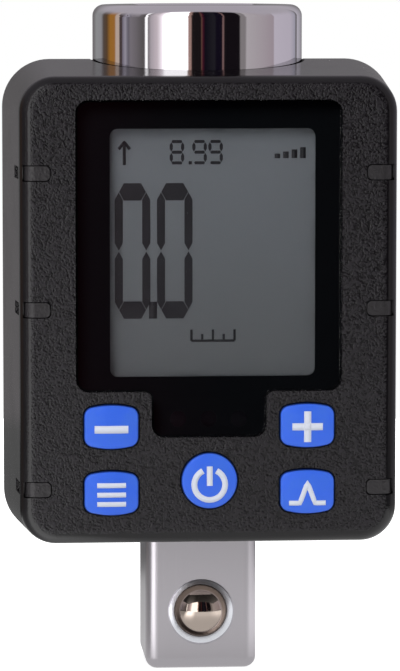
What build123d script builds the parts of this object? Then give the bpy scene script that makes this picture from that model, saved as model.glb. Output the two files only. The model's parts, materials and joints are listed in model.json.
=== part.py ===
from build123d import *
import os
from math import radians, sqrt, tan

# Digital torque adapter. Millimetres, +Z up, the display faces -Y. The origin is the centre of the
# male square's end face, on the spindle's axis. The housing parts at the plane through that axis.

os.makedirs("parts", exist_ok=True)

# Square drive
square_size = 12.7
square_edge_radius = 1.4
square_tip_radius = 1.3
square_length = 15.0
root_fillet = 0.5

# Detent ball in the male square
ball_diameter = 6.35
ball_height = 6.65
ball_depth = 1.9
ball_play = 0.07
detent_mouth_diameter = 7.6
detent_mouth_depth = 0.9
detent_spring_length = 4.4
detent_spring_diameter = 3.8
detent_spring_wire = 0.5
detent_spring_turns = 4.5

# Spindle above the square
head_wall = 2.88
head_height = 6.2
head_rounding = 1.3
head_step_width = 1.3
neck_diameter = 13.0
neck_length = 20.0
neck_taper_length = 3.2
neck_fillet = 1.5
journal_shoulder = 0.1
journal_length = 9.5
gauge_flat_depth = 0.9
gauge_flat_length = 15.0
socket_play = 0.1
socket_depth = 16.5
socket_corner_radius = 0.4
socket_lead_in = 0.6
socket_groove_radius = 1.8
socket_groove_depth = 0.8
drill_point_radius = 5.4
drill_point_depth = 2.0

# Housing
corner_radius = 5.4
front_draft = 4.68
rear_draft = 3.5
front_rounding = 1.6
rear_rounding = 1.4
wall = 2.0
face_wall = 2.2
rear_wall = 2.0
seam_chamfer = 0.2
head_gap = 0.3
seam_lip_thickness = 0.8
seam_lip_height = 0.8
seam_play = 0.1
rib_root_depth = 0.5

# Display window
lens_side_margin = 7.7
lens_top_margin = 4.125
lens_bottom_height = 18.525
lens_corner = 1.4
lens_tab_width = 12.6
lens_tab_drop = 5.1
lens_tab_corner = 1.3
lens_tab_fillet = 0.95
lens_thickness = 1.2
lens_recess_depth = 0.2
lens_play = 0.1
lens_edge_break = 0.15
mask_thickness = 0.15
display_offset = 0.45
view_top_margin = 3.125
view_bottom_margin = 1.525
view_corner = 0.9
ledge_margin = 0.6

# Display stack behind the window
glass_thickness = 1.0
glass_margin = 1.15
contact_strip_width = 2.0
backlight_thickness = 1.1
lcd_frame_wall = 0.7
lcd_play = 0.15
display_play = 0.2

# Main board
board_thickness = 1.2
board_corner = 2.0
board_end_gap = 0.8
board_side_gap = 0.3
board_shank_gap = 1.3
board_post_diameter = 2.8
board_screw_diameter = 1.5
board_screw_head_diameter = 3.0
board_screw_head_height = 1.0
board_screw_end_gap = 0.3
board_screw_margin = 1.8
board_post_gap = 0.25
board_screw_heights = (19.0, 35.0)

# Board frame with its snap hooks
frame_thickness = 1.2
frame_bar_width = 4.4
frame_side_gap = 0.1
frame_shank_gap = 0.5
hook_side_margin = 1.9
hook_length = 2.9
hook_width = 1.6
hook_heights = (7.6, 27.6)
hook_top_margin = 12.1
hook_rounding = 1.2
hook_inner_rounding = 0.5
hook_play = 0.1
hook_recess_depth = 0.05
barb_length = 3.4
barb_reach = 0.35
barb_gap = 0.15
hook_window_length = 4.0
hook_window_width = 1.4
hook_window_from_face = 1.7

# Keys
key_width = 6.1
key_height = 5.0
key_arch_height = 0.5
key_corner = 1.1
key_play = 0.12
key_proud = 0.75
key_dome_radius = 15.0
key_rounding = 0.4
key_column_x = 10.9
key_row_heights = (14.6, 7.2)
power_key_diameter = 6.3
power_key_height = 8.5
key_travel = 0.5
key_flange_thickness = 0.8
key_flange_side_width = 0.3
key_flange_end_width = 0.45
key_seat_gap = 0.05
key_stem_diameter = 2.8
plunger_diameter = 2.4
plunger_play = 0.1
switch_size = 4.5
switch_corner = 0.4
switch_height = 1.4
switch_floor = 0.3
web_thickness = 0.4
web_side_margin = 3.2
web_hole_play = 0.35
web_gap = 0.1
web_end_gap = 0.3
web_foot_diameter = 1.6

# Board parts
lamp_size = 1.8
lamp_height = 1.0
lamp_pitch = 3.4
lamp_row_height = 15.3
buzzer_diameter = 9.0
buzzer_height = 3.0
buzzer_rounding = 0.5
buzzer_side_gap = 1.0
buzzer_height_above_bottom = 14.5
buzzer_sound_hole = 1.6
controller_size = 7.0
controller_side_gap = 2.6
controller_height_above_bottom = 21.0
amplifier_size = 4.0
amplifier_side_gap = 4.1
amplifier_height_above_bottom = 25.0
chip_height = 1.2
chip_draft = 8.0

# Battery bay
cell_diameter = 10.5
cell_length = 44.5
cell_nub_diameter = 3.8
cell_nub_height = 0.8
cell_end_rounding = 0.4
cell_gap = 0.3
bay_play = 0.2
bay_wall = 0.8
bay_floor_height = 4.1
bay_top_margin = 4.6
bay_shank_gap = 0.6
contact_thickness = 0.3
contact_width = 8.4
contact_depth = 6.4
contact_strap_width = 3.6
contact_corner = 1.0
contact_shift = 0.4
battery_spring_room = 1.0
battery_spring_thickness = 0.2
battery_spring_width = 3.0
battery_spring_length = 5.6
battery_spring_foot_length = 0.9
lead_diameter = 1.0
lead_offset = 3.0
lead_bend_length = 3.0
lead_end_gap = 0.3
lead_side_gap = 2.0
lead_height = 2.5

# Battery door
door_side_margin = 1.15
door_thickness = 1.65
door_play = 0.15
door_top_gap = 0.3
door_rail_reach = 1.2
door_rail_thickness = 1.05
rail_wall = 1.2
door_lip_width = 8.0
door_lip_height = 1.0
door_lip_thickness = 0.8
grip_width = 12.0
grip_groove_width = 0.9
grip_pitch = 1.8
grip_count = 5
grip_depth = 0.45
grip_drop_height = 8.0

# Bushes and pin that carry the housing on the spindle
bush_height = 1.6
bush_play = 0.05
bush_end_gap = 0.1
upper_bush_wall = 2.2
lower_bush_wall = 2.0
cradle_wall = 1.2
pin_diameter = 3.0
pin_length = 8.0
pin_height = 6.8
pin_play = 0.02
pin_hole_depth = 4.5
pin_rib_width = 5.2
pin_rib_gap = 0.4
pin_end_gap = 0.1
pin_chamfer = 0.25

# Housing screws
screw_side_margin = 5.4
screw_end_margin = 5.2
screw_rail_gap = 0.25
screw_diameter = 2.4
screw_length = 13.0
screw_head_diameter = 4.2
screw_head_height = 1.5
screw_seat_depth = 4.0
recess_span = 0.6
recess_slot = 0.15
screw_play = 0.05
screw_passage_play = 0.2
counterbore_play = 0.1
boss_wall = 1.0
front_boss_length = 9.5
boss_web_thickness = 1.6

# Gauges
gauge_width = 5.0
gauge_length = 8.0
gauge_thickness = 0.12
gauge_corner = 0.5
flex_width = 4.0
flex_thickness = 0.15
flex_bend = 1.5

# Sizes that follow from those above. "Out" is the distance in front of the parting plane, and a
# negative one lies behind it. The cells and the screws beside them set the housing's width, the cells
# its height, and the display stack and the cells its depth, each way from the spindle.
corner_cut = sqrt(2) - 1
journal_radius = square_size / sqrt(2) - square_edge_radius * corner_cut + root_fillet + journal_shoulder
socket_size = square_size + 2 * socket_play
head_radius = socket_size / sqrt(2) + head_wall
shank_radius = head_radius - head_step_width

cell_x = (cell_diameter + cell_gap) / 2
bay_radius = cell_diameter / 2 + bay_play
tray_radius = bay_radius + bay_wall
bay_length = cell_length + 2 * contact_thickness + battery_spring_room
cell_axis_behind = sqrt((shank_radius + tray_radius + bay_shank_gap) ** 2 - cell_x ** 2)
door_width = 2 * (cell_x + bay_radius + door_side_margin)
rail_block_x = door_width / 2 + door_rail_reach + door_play + rail_wall
screw_x = rail_block_x + screw_rail_gap + screw_head_diameter / 2 + counterbore_play

display_depth = display_play + 2 * glass_thickness + backlight_thickness
housing_width = 2 * (screw_x + screw_side_margin)
housing_height = bay_floor_height + bay_length + bay_top_margin
front_depth = shank_radius + board_shank_gap + board_thickness + display_depth + face_wall
rear_depth = cell_axis_behind + bay_radius + door_thickness

bottom_z = square_length
top_z = bottom_z + housing_height
middle_z = bottom_z + housing_height / 2
head_top_z = top_z + head_height
shoulder_z = bottom_z + root_fillet / 2
inner_out = front_depth - face_wall
inner_top_z = top_z - wall
inner_bottom_z = bottom_z + wall

glass_out = inner_out - display_play
rear_glass_out = glass_out - glass_thickness
backlight_out = rear_glass_out - glass_thickness
board_out = backlight_out - backlight_thickness
board_back_out = board_out - board_thickness
frame_back_out = board_back_out - frame_thickness

flange_out = inner_out - key_seat_gap
stem_out = flange_out - key_flange_thickness
switch_out = board_out + switch_height
plunger_floor_out = board_out + switch_floor + key_travel + plunger_play
plunger_out = switch_out + key_travel + plunger_play
power_key_z = bottom_z + power_key_height

hook_outer_x = housing_width / 2 - hook_side_margin
hook_inner_x = hook_outer_x - hook_length
hook_z = [bottom_z + height for height in hook_heights] + [top_z - hook_top_margin]
frame_half_x = housing_width / 2 - wall - board_back_out * tan(radians(front_draft)) - frame_side_gap
frame_inner_x = frame_half_x - frame_bar_width
upper_bush_z = inner_top_z - bush_end_gap - bush_height
lower_bush_z = inner_bottom_z + bush_end_gap
board_top_z = upper_bush_z - board_end_gap
board_bottom_z = lower_bush_z + bush_height + board_end_gap
board_width = 2 * (hook_inner_x - board_side_gap)
board_screw_x = board_width / 2 - board_screw_margin

lens_width = housing_width - 2 * lens_side_margin
lens_height = housing_height - lens_top_margin - lens_bottom_height
lens_z = bottom_z + lens_bottom_height + lens_height / 2
lens_out = front_depth - lens_recess_depth
mask_out = lens_out - lens_thickness
ledge_out = mask_out - mask_thickness
lcd_frame_x = board_screw_x - board_post_diameter / 2 - board_post_gap
glass_width = 2 * (lcd_frame_x - display_offset - lcd_frame_wall - lcd_play)
view_width = glass_width - 2 * glass_margin
view_height = lens_height - view_top_margin - view_bottom_margin
view_z = bottom_z + lens_bottom_height + view_bottom_margin + view_height / 2
glass_top_z = view_z + view_height / 2 + glass_margin
glass_bottom_z = view_z - view_height / 2 - glass_margin

bay_bottom_z = bottom_z + bay_floor_height
bay_top_z = bay_bottom_z + bay_length
door_back = rear_depth - door_thickness
rail_out = rear_depth - rear_wall - door_play
rail_inner = rail_out - door_rail_thickness
door_top_z = bay_top_z - door_top_gap
pin_z = bottom_z + pin_height

column = key_column_x
web_width = 2 * (key_column_x + web_side_margin)
upper_row_z, lower_row_z = (bottom_z + height for height in key_row_heights)
corner_keys = {
    "minus": (-column, upper_row_z),
    "plus": (column, upper_row_z),
    "mode": (-column, lower_row_z),
    "track": (column, lower_row_z),
}
key_places = {**corner_keys, "power": (0, power_key_z)}
screw_reach_z = housing_height / 2 - screw_end_margin
screw_places = [(side * screw_x, middle_z + end * screw_reach_z) for side in (-1, 1) for end in (-1, 1)]
board_screw_places = [(side * board_screw_x, bottom_z + h) for side in (-1, 1) for h in board_screw_heights]


def layer(out):
    """Plane parallel to the parting plane. Its sketches are drawn in X and Z."""
    return Plane.XZ.offset(out)


def level(z):
    """Horizontal plane at the height z."""
    return Plane.XY.offset(z)


def finish(piece, name):
    """Name a finished piece and write it out."""
    piece.label = name
    export_step(piece, f"parts/{name}.step")


def tapered_half(depth, draft, inset=0.0):
    """Drafted block from the parting plane, forwards or, with a negative depth, backwards."""
    with BuildPart() as half:
        with BuildSketch(layer(0)):
            with Locations((0, middle_z)):
                RectangleRounded(
                    housing_width - 2 * inset, housing_height - 2 * inset, corner_radius - inset
                )
        extrude(amount=depth, taper=draft)
    return half.part


def housing_half(depth, draft, rounding):
    """Outer form of one cover, with its far edges rounded."""
    far_end, seam_end = (0, -1) if depth > 0 else (-1, 0)
    with BuildPart() as half:
        add(tapered_half(depth, draft))
        fillet(half.faces().sort_by(Axis.Y)[far_end].edges(), rounding)
        chamfer(half.faces().sort_by(Axis.Y)[seam_end].edges(), seam_chamfer)
    return half.part


def lens_outline(grow=0.0):
    """Outline of the window: a rounded rectangle with a tab in the middle of its lower edge."""
    side = lens_width / 2
    top = lens_z + lens_height / 2
    bottom = lens_z - lens_height / 2
    tab = lens_tab_width / 2
    tab_bottom = bottom - lens_tab_drop
    with BuildSketch() as outline:
        with BuildLine():
            FilletPolyline(
                (-side, top), (side, top), (side, bottom), (tab, bottom),
                (tab, tab_bottom), (-tab, tab_bottom), (-tab, bottom), (-side, bottom),
                radius=[lens_corner] * 3 + [lens_tab_fillet] + [lens_tab_corner] * 2
                + [lens_tab_fillet, lens_corner],
                close=True,
            )
        make_face()
        if grow:
            offset(amount=grow)
    return outline.sketch


def key_outline(name, grow=0.0):
    """Outline of a key: round for power, otherwise straight sides and arched ends."""
    side = key_width / 2
    end = key_height / 2
    shoulder = end - key_arch_height
    with BuildSketch() as outline:
        if name == "power":
            Circle(power_key_diameter / 2 + grow)
        else:
            with BuildLine():
                Line((-side, -shoulder), (-side, shoulder))
                ThreePointArc((-side, shoulder), (0, end), (side, shoulder))
                Line((side, shoulder), (side, -shoulder))
                ThreePointArc((side, -shoulder), (0, -end), (-side, -shoulder))
            make_face()
            fillet(outline.vertices(), key_corner)
            if grow:
                offset(amount=grow)
    return outline.sketch


def hook_outline(grow=0.0):
    """Outlines of the six snap hooks, rounded at their inner ends."""
    reach = hook_outer_x - hook_inner_x
    with BuildSketch() as outline:
        for z in hook_z:
            with Locations((hook_inner_x + reach / 2, z)):
                RectangleRounded(reach + 2 * grow, hook_width + 2 * grow, hook_inner_rounding)
            with Locations((hook_outer_x - reach / 4, z)):
                Rectangle(reach / 2 + 2 * grow, hook_width + 2 * grow)
        mirror(about=Plane.YZ)
    return outline.sketch


def screw_bosses(radius):
    """Round bosses at the four screws, each with two webs that tie it into its corner."""
    with BuildSketch() as bosses:
        for x, z in screw_places:
            side = 1 if x > 0 else -1
            end = 1 if z > middle_z else -1
            with Locations((x, z)):
                Circle(radius)
            reach_x = housing_width / 2 - wall + rib_root_depth - abs(x)
            reach_z = housing_height / 2 - wall + rib_root_depth - abs(z - middle_z)
            with Locations((x + side * reach_x / 2, z)):
                Rectangle(reach_x, boss_web_thickness)
            with Locations((x, z + end * reach_z / 2)):
                Rectangle(boss_web_thickness, reach_z)
    return bosses.sketch


def half_ring(outer, inner, front):
    """Half of a ring around the spindle, in front of the parting plane or behind it."""
    side = -1 if front else 1
    with BuildSketch() as ring:
        Circle(outer)
        Circle(inner, mode=Mode.SUBTRACT)
        with Locations((0, side * outer)):
            Rectangle(4 * outer, 2 * outer, mode=Mode.INTERSECT)
    return ring.sketch


def bush_cradles(front):
    """Half cradles that hold the two bushes against the top and bottom walls."""
    upper_radius = shank_radius + upper_bush_wall + bush_play
    lower_radius = journal_radius + lower_bush_wall + bush_play
    with BuildPart() as cradles:
        with BuildSketch(level(upper_bush_z)):
            add(half_ring(upper_radius + cradle_wall, upper_radius, front))
        extrude(amount=inner_top_z - upper_bush_z + rib_root_depth)
        with BuildSketch(level(inner_bottom_z - rib_root_depth)):
            add(half_ring(lower_radius + cradle_wall, lower_radius, front))
        extrude(amount=lower_bush_z + bush_height - inner_bottom_z + rib_root_depth)
    return cradles.part


def spindle_clearance():
    """Round passages for the head, the journal and the bushes through the end walls."""
    seat_room = 2 * bush_height
    with BuildPart() as passages:
        with BuildSketch(level(inner_top_z - bush_end_gap / 2)):
            Circle(head_radius + head_gap)
        extrude(amount=2 * wall)
        with BuildSketch(level(inner_top_z - bush_end_gap / 2)):
            Circle(shank_radius + upper_bush_wall + bush_play)
        extrude(amount=-seat_room)
        with BuildSketch(level(inner_bottom_z + bush_end_gap / 2)):
            Circle(journal_radius + head_gap)
        extrude(amount=-2 * wall)
        with BuildSketch(level(inner_bottom_z + bush_end_gap / 2)):
            Circle(journal_radius + lower_bush_wall + bush_play)
        extrude(amount=seat_room)
    return passages.part


# Bodies that both covers and the door share
front_block = housing_half(front_depth, front_draft, front_rounding)
front_cavity = tapered_half(inner_out, front_draft, wall)
rear_block = housing_half(-rear_depth, rear_draft, rear_rounding)
rear_cavity = tapered_half(rear_wall - rear_depth, rear_draft, wall)
passages = spindle_clearance()

# Front cover: drafted shell with the window pocket, key holes, hook notches and screw bosses
front_cradles = bush_cradles(front=True)

with BuildPart() as front_cover:
    add(front_block)
    add(front_cavity, mode=Mode.SUBTRACT)
    add(front_cradles)
    with BuildSketch(layer(0)):
        add(screw_bosses(screw_diameter / 2 + screw_play + boss_wall))
    extrude(amount=front_boss_length)
    with BuildSketch(layer(board_out)):
        with Locations(*board_screw_places):
            Circle(board_post_diameter / 2)
    extrude(amount=inner_out - board_out + rib_root_depth)
    with BuildSketch(layer(front_depth)):
        add(lens_outline(lens_play))
    extrude(amount=ledge_out - front_depth, mode=Mode.SUBTRACT)
    with BuildSketch(layer(front_depth)):
        with Locations((display_offset, view_z)):
            RectangleRounded(view_width + 2 * ledge_margin, view_height + 2 * ledge_margin, view_corner)
        with Locations((0, bottom_z + lamp_row_height)):
            Rectangle(2 * lamp_pitch + 2 * lamp_size, lamp_size)
    extrude(amount=-face_wall, mode=Mode.SUBTRACT)
    with BuildSketch(layer(front_depth)):
        for name, place in key_places.items():
            with Locations(place):
                add(key_outline(name, key_play))
    extrude(amount=-face_wall, mode=Mode.SUBTRACT)
    with BuildSketch(layer(0)):
        add(hook_outline(hook_play))
    extrude(amount=front_depth, mode=Mode.SUBTRACT)
    with BuildSketch(layer(front_depth - hook_window_from_face)):
        with Locations(*[(side * (hook_outer_x + wall), z) for side in (-1, 1) for z in hook_z]):
            Rectangle(2 * wall, hook_window_width)
    extrude(amount=-hook_window_length, mode=Mode.SUBTRACT)
    with BuildSketch(layer(0)):
        with Locations((0, middle_z)):
            lip_rebate = wall - seam_lip_thickness - seam_play
            RectangleRounded(
                housing_width - 2 * lip_rebate, housing_height - 2 * lip_rebate, corner_radius - lip_rebate
            )
    extrude(amount=seam_lip_height + seam_play, mode=Mode.SUBTRACT)
    add(passages, mode=Mode.SUBTRACT)
    with BuildSketch(layer(0)):
        with Locations(*screw_places):
            Circle(screw_diameter / 2 + screw_play)
    extrude(amount=front_boss_length - boss_wall, mode=Mode.SUBTRACT)
    with BuildSketch(layer(board_out)):
        with Locations(*board_screw_places):
            Circle(board_screw_diameter / 2 + screw_play)
    extrude(amount=inner_out - board_out, mode=Mode.SUBTRACT)
finish(front_cover.part, "front_cover")


def bay_profile(grow, mouth):
    """Two cells side by side, open towards the battery door as far back as the mouth."""
    radius = bay_radius + grow
    depth = mouth - cell_axis_behind
    with BuildSketch() as profile:
        with Locations((-cell_x, cell_axis_behind), (cell_x, cell_axis_behind)):
            Circle(radius)
        with Locations((0, cell_axis_behind + depth / 2)):
            Rectangle(2 * (cell_x + radius), depth)
    return profile.sketch


def door_profile(grow=0.0):
    """Cross-section of the battery door: a plate with a hooked rail at each side."""
    half = door_width / 2
    with BuildSketch() as profile:
        with Locations((0, (door_back + rear_depth) / 2)):
            Rectangle(door_width + 2 * grow, door_thickness + 2 * grow)
        for side in (-1, 1):
            with Locations((side * (half - door_rail_reach / 2), (rail_inner + rear_depth) / 2)):
                Rectangle(door_rail_reach + 2 * grow, rear_depth - rail_inner + 2 * grow)
            with Locations((side * half, (rail_inner + rail_out) / 2)):
                Rectangle(2 * door_rail_reach + 2 * grow, door_rail_thickness + 2 * grow)
    return profile.sketch


# Rear cover: drafted shell with the battery bay, the door's rails and the screw counterbores
rear_cradles = bush_cradles(front=False)
bay_half = cell_x + bay_radius
shelf_y = rail_inner - door_play

with BuildPart() as rear_cover:
    add(rear_block)
    add(rear_cavity, mode=Mode.SUBTRACT)
    with BuildSketch(layer(0)):
        with Locations((0, middle_z)):
            lip_inset = wall - seam_lip_thickness
            RectangleRounded(
                housing_width - 2 * lip_inset, housing_height - 2 * lip_inset, corner_radius - lip_inset
            )
            RectangleRounded(
                housing_width - 2 * wall, housing_height - 2 * wall, corner_radius - wall,
                mode=Mode.SUBTRACT,
            )
    extrude(amount=seam_lip_height)
    add(rear_cradles)
    with BuildSketch(level(bay_bottom_z - bay_wall)):
        add(bay_profile(bay_wall, shelf_y))
    extrude(amount=bay_length + 2 * bay_wall)
    with BuildSketch(level(inner_bottom_z)):
        for side in (-1, 1):
            with Locations((side * (bay_half + rail_block_x) / 2, shelf_y - rail_wall / 2)):
                Rectangle(rail_block_x - bay_half, rail_wall)
            with Locations((side * (rail_block_x - rail_wall / 2), (shelf_y - rail_wall + rear_depth) / 2)):
                Rectangle(rail_wall, rear_depth - rear_wall - shelf_y + rail_wall)
    extrude(amount=door_top_z + door_lip_height - inner_bottom_z)
    with BuildSketch(layer(-screw_seat_depth / 2)):
        add(screw_bosses(screw_head_diameter / 2 + counterbore_play + boss_wall))
    extrude(amount=screw_seat_depth / 2 + seam_lip_height)
    with BuildSketch(layer(-screw_seat_depth / 2)):
        add(screw_bosses(screw_head_diameter / 2 + counterbore_play + boss_wall))
    extrude(amount=-(rear_depth - rear_wall - screw_seat_depth / 2))
    with BuildSketch(layer(-journal_radius - pin_rib_gap)):
        with Locations((0, pin_z)):
            Rectangle(pin_rib_width, pin_diameter + 2 * boss_wall)
    extrude(amount=-(cell_axis_behind - journal_radius - pin_rib_gap - bay_radius / 2))
    with BuildSketch(level(bay_bottom_z)):
        add(bay_profile(0, door_back))
    extrude(amount=bay_length, mode=Mode.SUBTRACT)
    with BuildSketch(level(0)):
        add(door_profile(door_play))
    extrude(amount=door_top_z + door_play, mode=Mode.SUBTRACT)
    with BuildSketch(level(door_top_z)):
        with Locations((0, door_back + door_lip_thickness / 2)):
            Rectangle(door_lip_width + 2 * door_play, door_lip_thickness + 2 * door_play)
    extrude(amount=door_lip_height + door_play, mode=Mode.SUBTRACT)
    with BuildSketch(layer(seam_lip_height)):
        with Locations(*screw_places):
            Circle(screw_diameter / 2 + screw_passage_play)
    extrude(amount=-rear_depth, mode=Mode.SUBTRACT)
    with BuildSketch(layer(-screw_seat_depth)):
        with Locations(*screw_places):
            Circle(screw_head_diameter / 2 + counterbore_play)
    extrude(amount=-rear_depth, mode=Mode.SUBTRACT)
    with BuildSketch(layer(0)):
        with Locations((0, pin_z)):
            Circle(pin_diameter / 2 + pin_play)
    pin_end = journal_radius - pin_hole_depth + pin_length + pin_end_gap
    extrude(amount=-pin_end, mode=Mode.SUBTRACT)
    add(passages, mode=Mode.SUBTRACT)
finish(rear_cover.part, "rear_cover")

# Battery door: slides down on its rails, cut to the outer form of the rear cover
with BuildPart() as battery_door:
    with BuildSketch(level(0)):
        add(door_profile())
    extrude(amount=door_top_z)
    with BuildSketch(level(door_top_z)):
        with Locations((0, door_back + door_lip_thickness / 2)):
            Rectangle(door_lip_width, door_lip_thickness)
    extrude(amount=door_lip_height)
    add(rear_block, mode=Mode.INTERSECT)
    with BuildSketch(layer(-rear_depth)):
        with Locations((0, door_top_z - grip_drop_height)):
            with GridLocations(0, grip_pitch, 1, grip_count):
                SlotOverall(grip_width, grip_groove_width)
    extrude(amount=grip_depth, mode=Mode.SUBTRACT)
finish(battery_door.part, "battery_door")

# Display lens and the printed mask behind it
with BuildPart() as display_lens:
    with BuildSketch(layer(mask_out)):
        add(lens_outline())
    extrude(amount=lens_thickness)
    chamfer(display_lens.faces().sort_by(Axis.Y)[0].edges(), lens_edge_break)
finish(display_lens.part, "display_lens")

with BuildPart() as display_mask:
    with BuildSketch(layer(ledge_out)):
        add(lens_outline(-lens_play))
        with Locations((display_offset, view_z)):
            RectangleRounded(view_width, view_height, view_corner, mode=Mode.SUBTRACT)
        with Locations((0, bottom_z + lamp_row_height)):
            with GridLocations(lamp_pitch, 0, 3, 1):
                Circle(lamp_size / 2, mode=Mode.SUBTRACT)
    extrude(amount=mask_thickness)
finish(display_mask.part, "display_mask")

# Display: two glass plates, a backlight, a frame on the board and the elastomer strip between them
glass_mid_z = (glass_top_z + glass_bottom_z) / 2
glass_height = glass_top_z - glass_bottom_z
rear_glass_height = glass_height - contact_strip_width

with BuildPart() as lcd_front_glass:
    with BuildSketch(layer(rear_glass_out)):
        with Locations((display_offset, glass_mid_z)):
            Rectangle(glass_width, glass_height)
    extrude(amount=glass_thickness)
finish(lcd_front_glass.part, "lcd_front_glass")

with BuildPart() as lcd_rear_glass:
    with BuildSketch(layer(backlight_out)):
        with Locations((display_offset, glass_top_z - rear_glass_height / 2)):
            Rectangle(glass_width, rear_glass_height)
    extrude(amount=glass_thickness)
finish(lcd_rear_glass.part, "lcd_rear_glass")

with BuildPart() as backlight_panel:
    with BuildSketch(layer(board_out)):
        with Locations((display_offset, glass_top_z - rear_glass_height / 2)):
            RectangleRounded(glass_width - lcd_play, rear_glass_height - lcd_play, view_corner)
    extrude(amount=backlight_thickness)
finish(backlight_panel.part, "backlight_panel")

with BuildPart() as lcd_frame:
    with BuildSketch(layer(board_out)):
        with Locations((display_offset, glass_mid_z)):
            frame_grow = 2 * (lcd_play + lcd_frame_wall)
            RectangleRounded(glass_width + frame_grow, glass_height + frame_grow, lcd_frame_wall)
            Rectangle(glass_width + 2 * lcd_play, glass_height + 2 * lcd_play, mode=Mode.SUBTRACT)
    extrude(amount=glass_out - board_out)
finish(lcd_frame.part, "lcd_frame")

with BuildPart() as lcd_connector:
    with BuildSketch(layer(board_out)):
        with Locations((display_offset, glass_bottom_z + contact_strip_width / 2)):
            Rectangle(glass_width - 2 * lcd_play, contact_strip_width - 2 * lcd_play)
    extrude(amount=rear_glass_out - board_out)
finish(lcd_connector.part, "lcd_connector")

# Main board, held to the front cover's posts
board_height = board_top_z - board_bottom_z
board_mid_z = (board_top_z + board_bottom_z) / 2

with BuildPart() as main_board:
    with BuildSketch(layer(board_back_out)):
        with Locations((0, board_mid_z)):
            RectangleRounded(board_width, board_height, board_corner)
        with Locations(*board_screw_places):
            Circle(board_screw_diameter / 2 + screw_play, mode=Mode.SUBTRACT)
    extrude(amount=board_thickness)
finish(main_board.part, "main_board")

# Board frame: a bar all round behind the board, with six hooks that reach the front face
with BuildPart() as board_frame:
    with BuildSketch(layer(frame_back_out)):
        with Locations((0, board_mid_z)):
            RectangleRounded(2 * frame_half_x, board_height, board_corner)
            RectangleRounded(
                2 * frame_inner_x, board_height - frame_bar_width, board_corner, mode=Mode.SUBTRACT
            )
        with Locations(*board_screw_places):
            Circle(board_screw_diameter / 2 + screw_play, mode=Mode.SUBTRACT)
    extrude(amount=frame_thickness)
    with BuildSketch(level(board_bottom_z)):
        Circle(shank_radius + frame_shank_gap)
    extrude(amount=board_height, mode=Mode.SUBTRACT)
    with BuildSketch(layer(frame_back_out)):
        add(hook_outline())
    extrude(amount=front_depth - hook_recess_depth - frame_back_out)
    tips = board_frame.faces().sort_by(Axis.Y)[:6]
    upright_edges = [tip.edges().filter_by(Axis.Z) for tip in tips]
    fillet([edges.sort_by(lambda edge: abs(edge.center().X))[-1] for edges in upright_edges], hook_rounding)
    barb_out = front_depth - hook_window_from_face - barb_gap
    for z in hook_z:
        with BuildSketch(level(z - hook_window_width / 2 + hook_play)):
            with BuildLine():
                Polyline(
                    (hook_outer_x, -barb_out), (hook_outer_x + barb_reach, -barb_out + barb_length),
                    (hook_outer_x - hook_rounding, -barb_out + barb_length),
                    (hook_outer_x - hook_rounding, -barb_out), close=True,
                )
            make_face()
            mirror(about=Plane.YZ)
        extrude(amount=hook_window_width - 2 * hook_play)
finish(board_frame.part, "board_frame")

# Board screws, through the frame and the board into the posts
with BuildPart() as board_screws:
    with BuildSketch(layer(frame_back_out)):
        with Locations(*board_screw_places):
            Circle(board_screw_head_diameter / 2)
    extrude(amount=-board_screw_head_height)
    with BuildSketch(layer(frame_back_out)):
        with Locations(*board_screw_places):
            Circle(board_screw_diameter / 2)
    extrude(amount=inner_out - frame_back_out - board_screw_end_gap)
    with BuildSketch(layer(frame_back_out - board_screw_head_height)):
        with Locations(*board_screw_places):
            Rectangle(board_screw_head_diameter * recess_span, board_screw_head_diameter * recess_slot)
            Rectangle(board_screw_head_diameter * recess_slot, board_screw_head_diameter * recess_span)
    extrude(amount=board_screw_head_height / 2, mode=Mode.SUBTRACT)
finish(board_screws.part, "board_screws")

# Key switches on the board, each with a hole for its plunger
with BuildPart() as tact_switches:
    with BuildSketch(layer(board_out)):
        with Locations(*key_places.values()):
            RectangleRounded(switch_size, switch_size, switch_corner)
    extrude(amount=switch_height)
    with BuildSketch(layer(board_out + switch_floor)):
        with Locations(*key_places.values()):
            Circle(plunger_diameter / 2 + plunger_play)
    extrude(amount=switch_height, mode=Mode.SUBTRACT)
finish(tact_switches.part, "tact_switches")

# Keys: a domed cap through the face, a flange behind it and a stem on the switch plunger
for key_name, (key_x, key_z) in key_places.items():
    crown_out = front_depth + key_proud
    with BuildPart() as key:
        with BuildSketch(layer(flange_out)):
            with Locations((key_x, key_z)):
                add(key_outline(key_name))
        extrude(amount=crown_out - flange_out)
        with Locations((key_x, key_dome_radius - crown_out, key_z)):
            Sphere(key_dome_radius, mode=Mode.INTERSECT)
        fillet(key.faces().sort_by(Axis.Y)[0].edges(), key_rounding)
        with BuildSketch(layer(stem_out)):
            with Locations((key_x, key_z)):
                if key_name == "power":
                    Circle(power_key_diameter / 2 + key_flange_end_width)
                else:
                    flange_width = key_width + 2 * key_flange_side_width
                    flange_height = key_height + 2 * key_flange_end_width
                    RectangleRounded(flange_width, flange_height, key_corner)
        extrude(amount=key_flange_thickness)
        with BuildSketch(layer(plunger_out)):
            with Locations((key_x, key_z)):
                Circle(key_stem_diameter / 2)
        extrude(amount=stem_out - plunger_out)
    finish(key.part, f"{key_name}_key")

    with BuildPart() as plunger:
        with BuildSketch(layer(plunger_floor_out)):
            with Locations((key_x, key_z)):
                Circle(plunger_diameter / 2)
        extrude(amount=plunger_out - plunger_floor_out)
    finish(plunger.part, f"{key_name}_plunger")

# Keypad web: a soft sheet on feet around the switches, with a window for the lamps
web_out = switch_out + web_gap
web_top_z = glass_bottom_z - lcd_play - lcd_frame_wall - web_end_gap
web_bottom_z = board_bottom_z + web_end_gap

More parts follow.
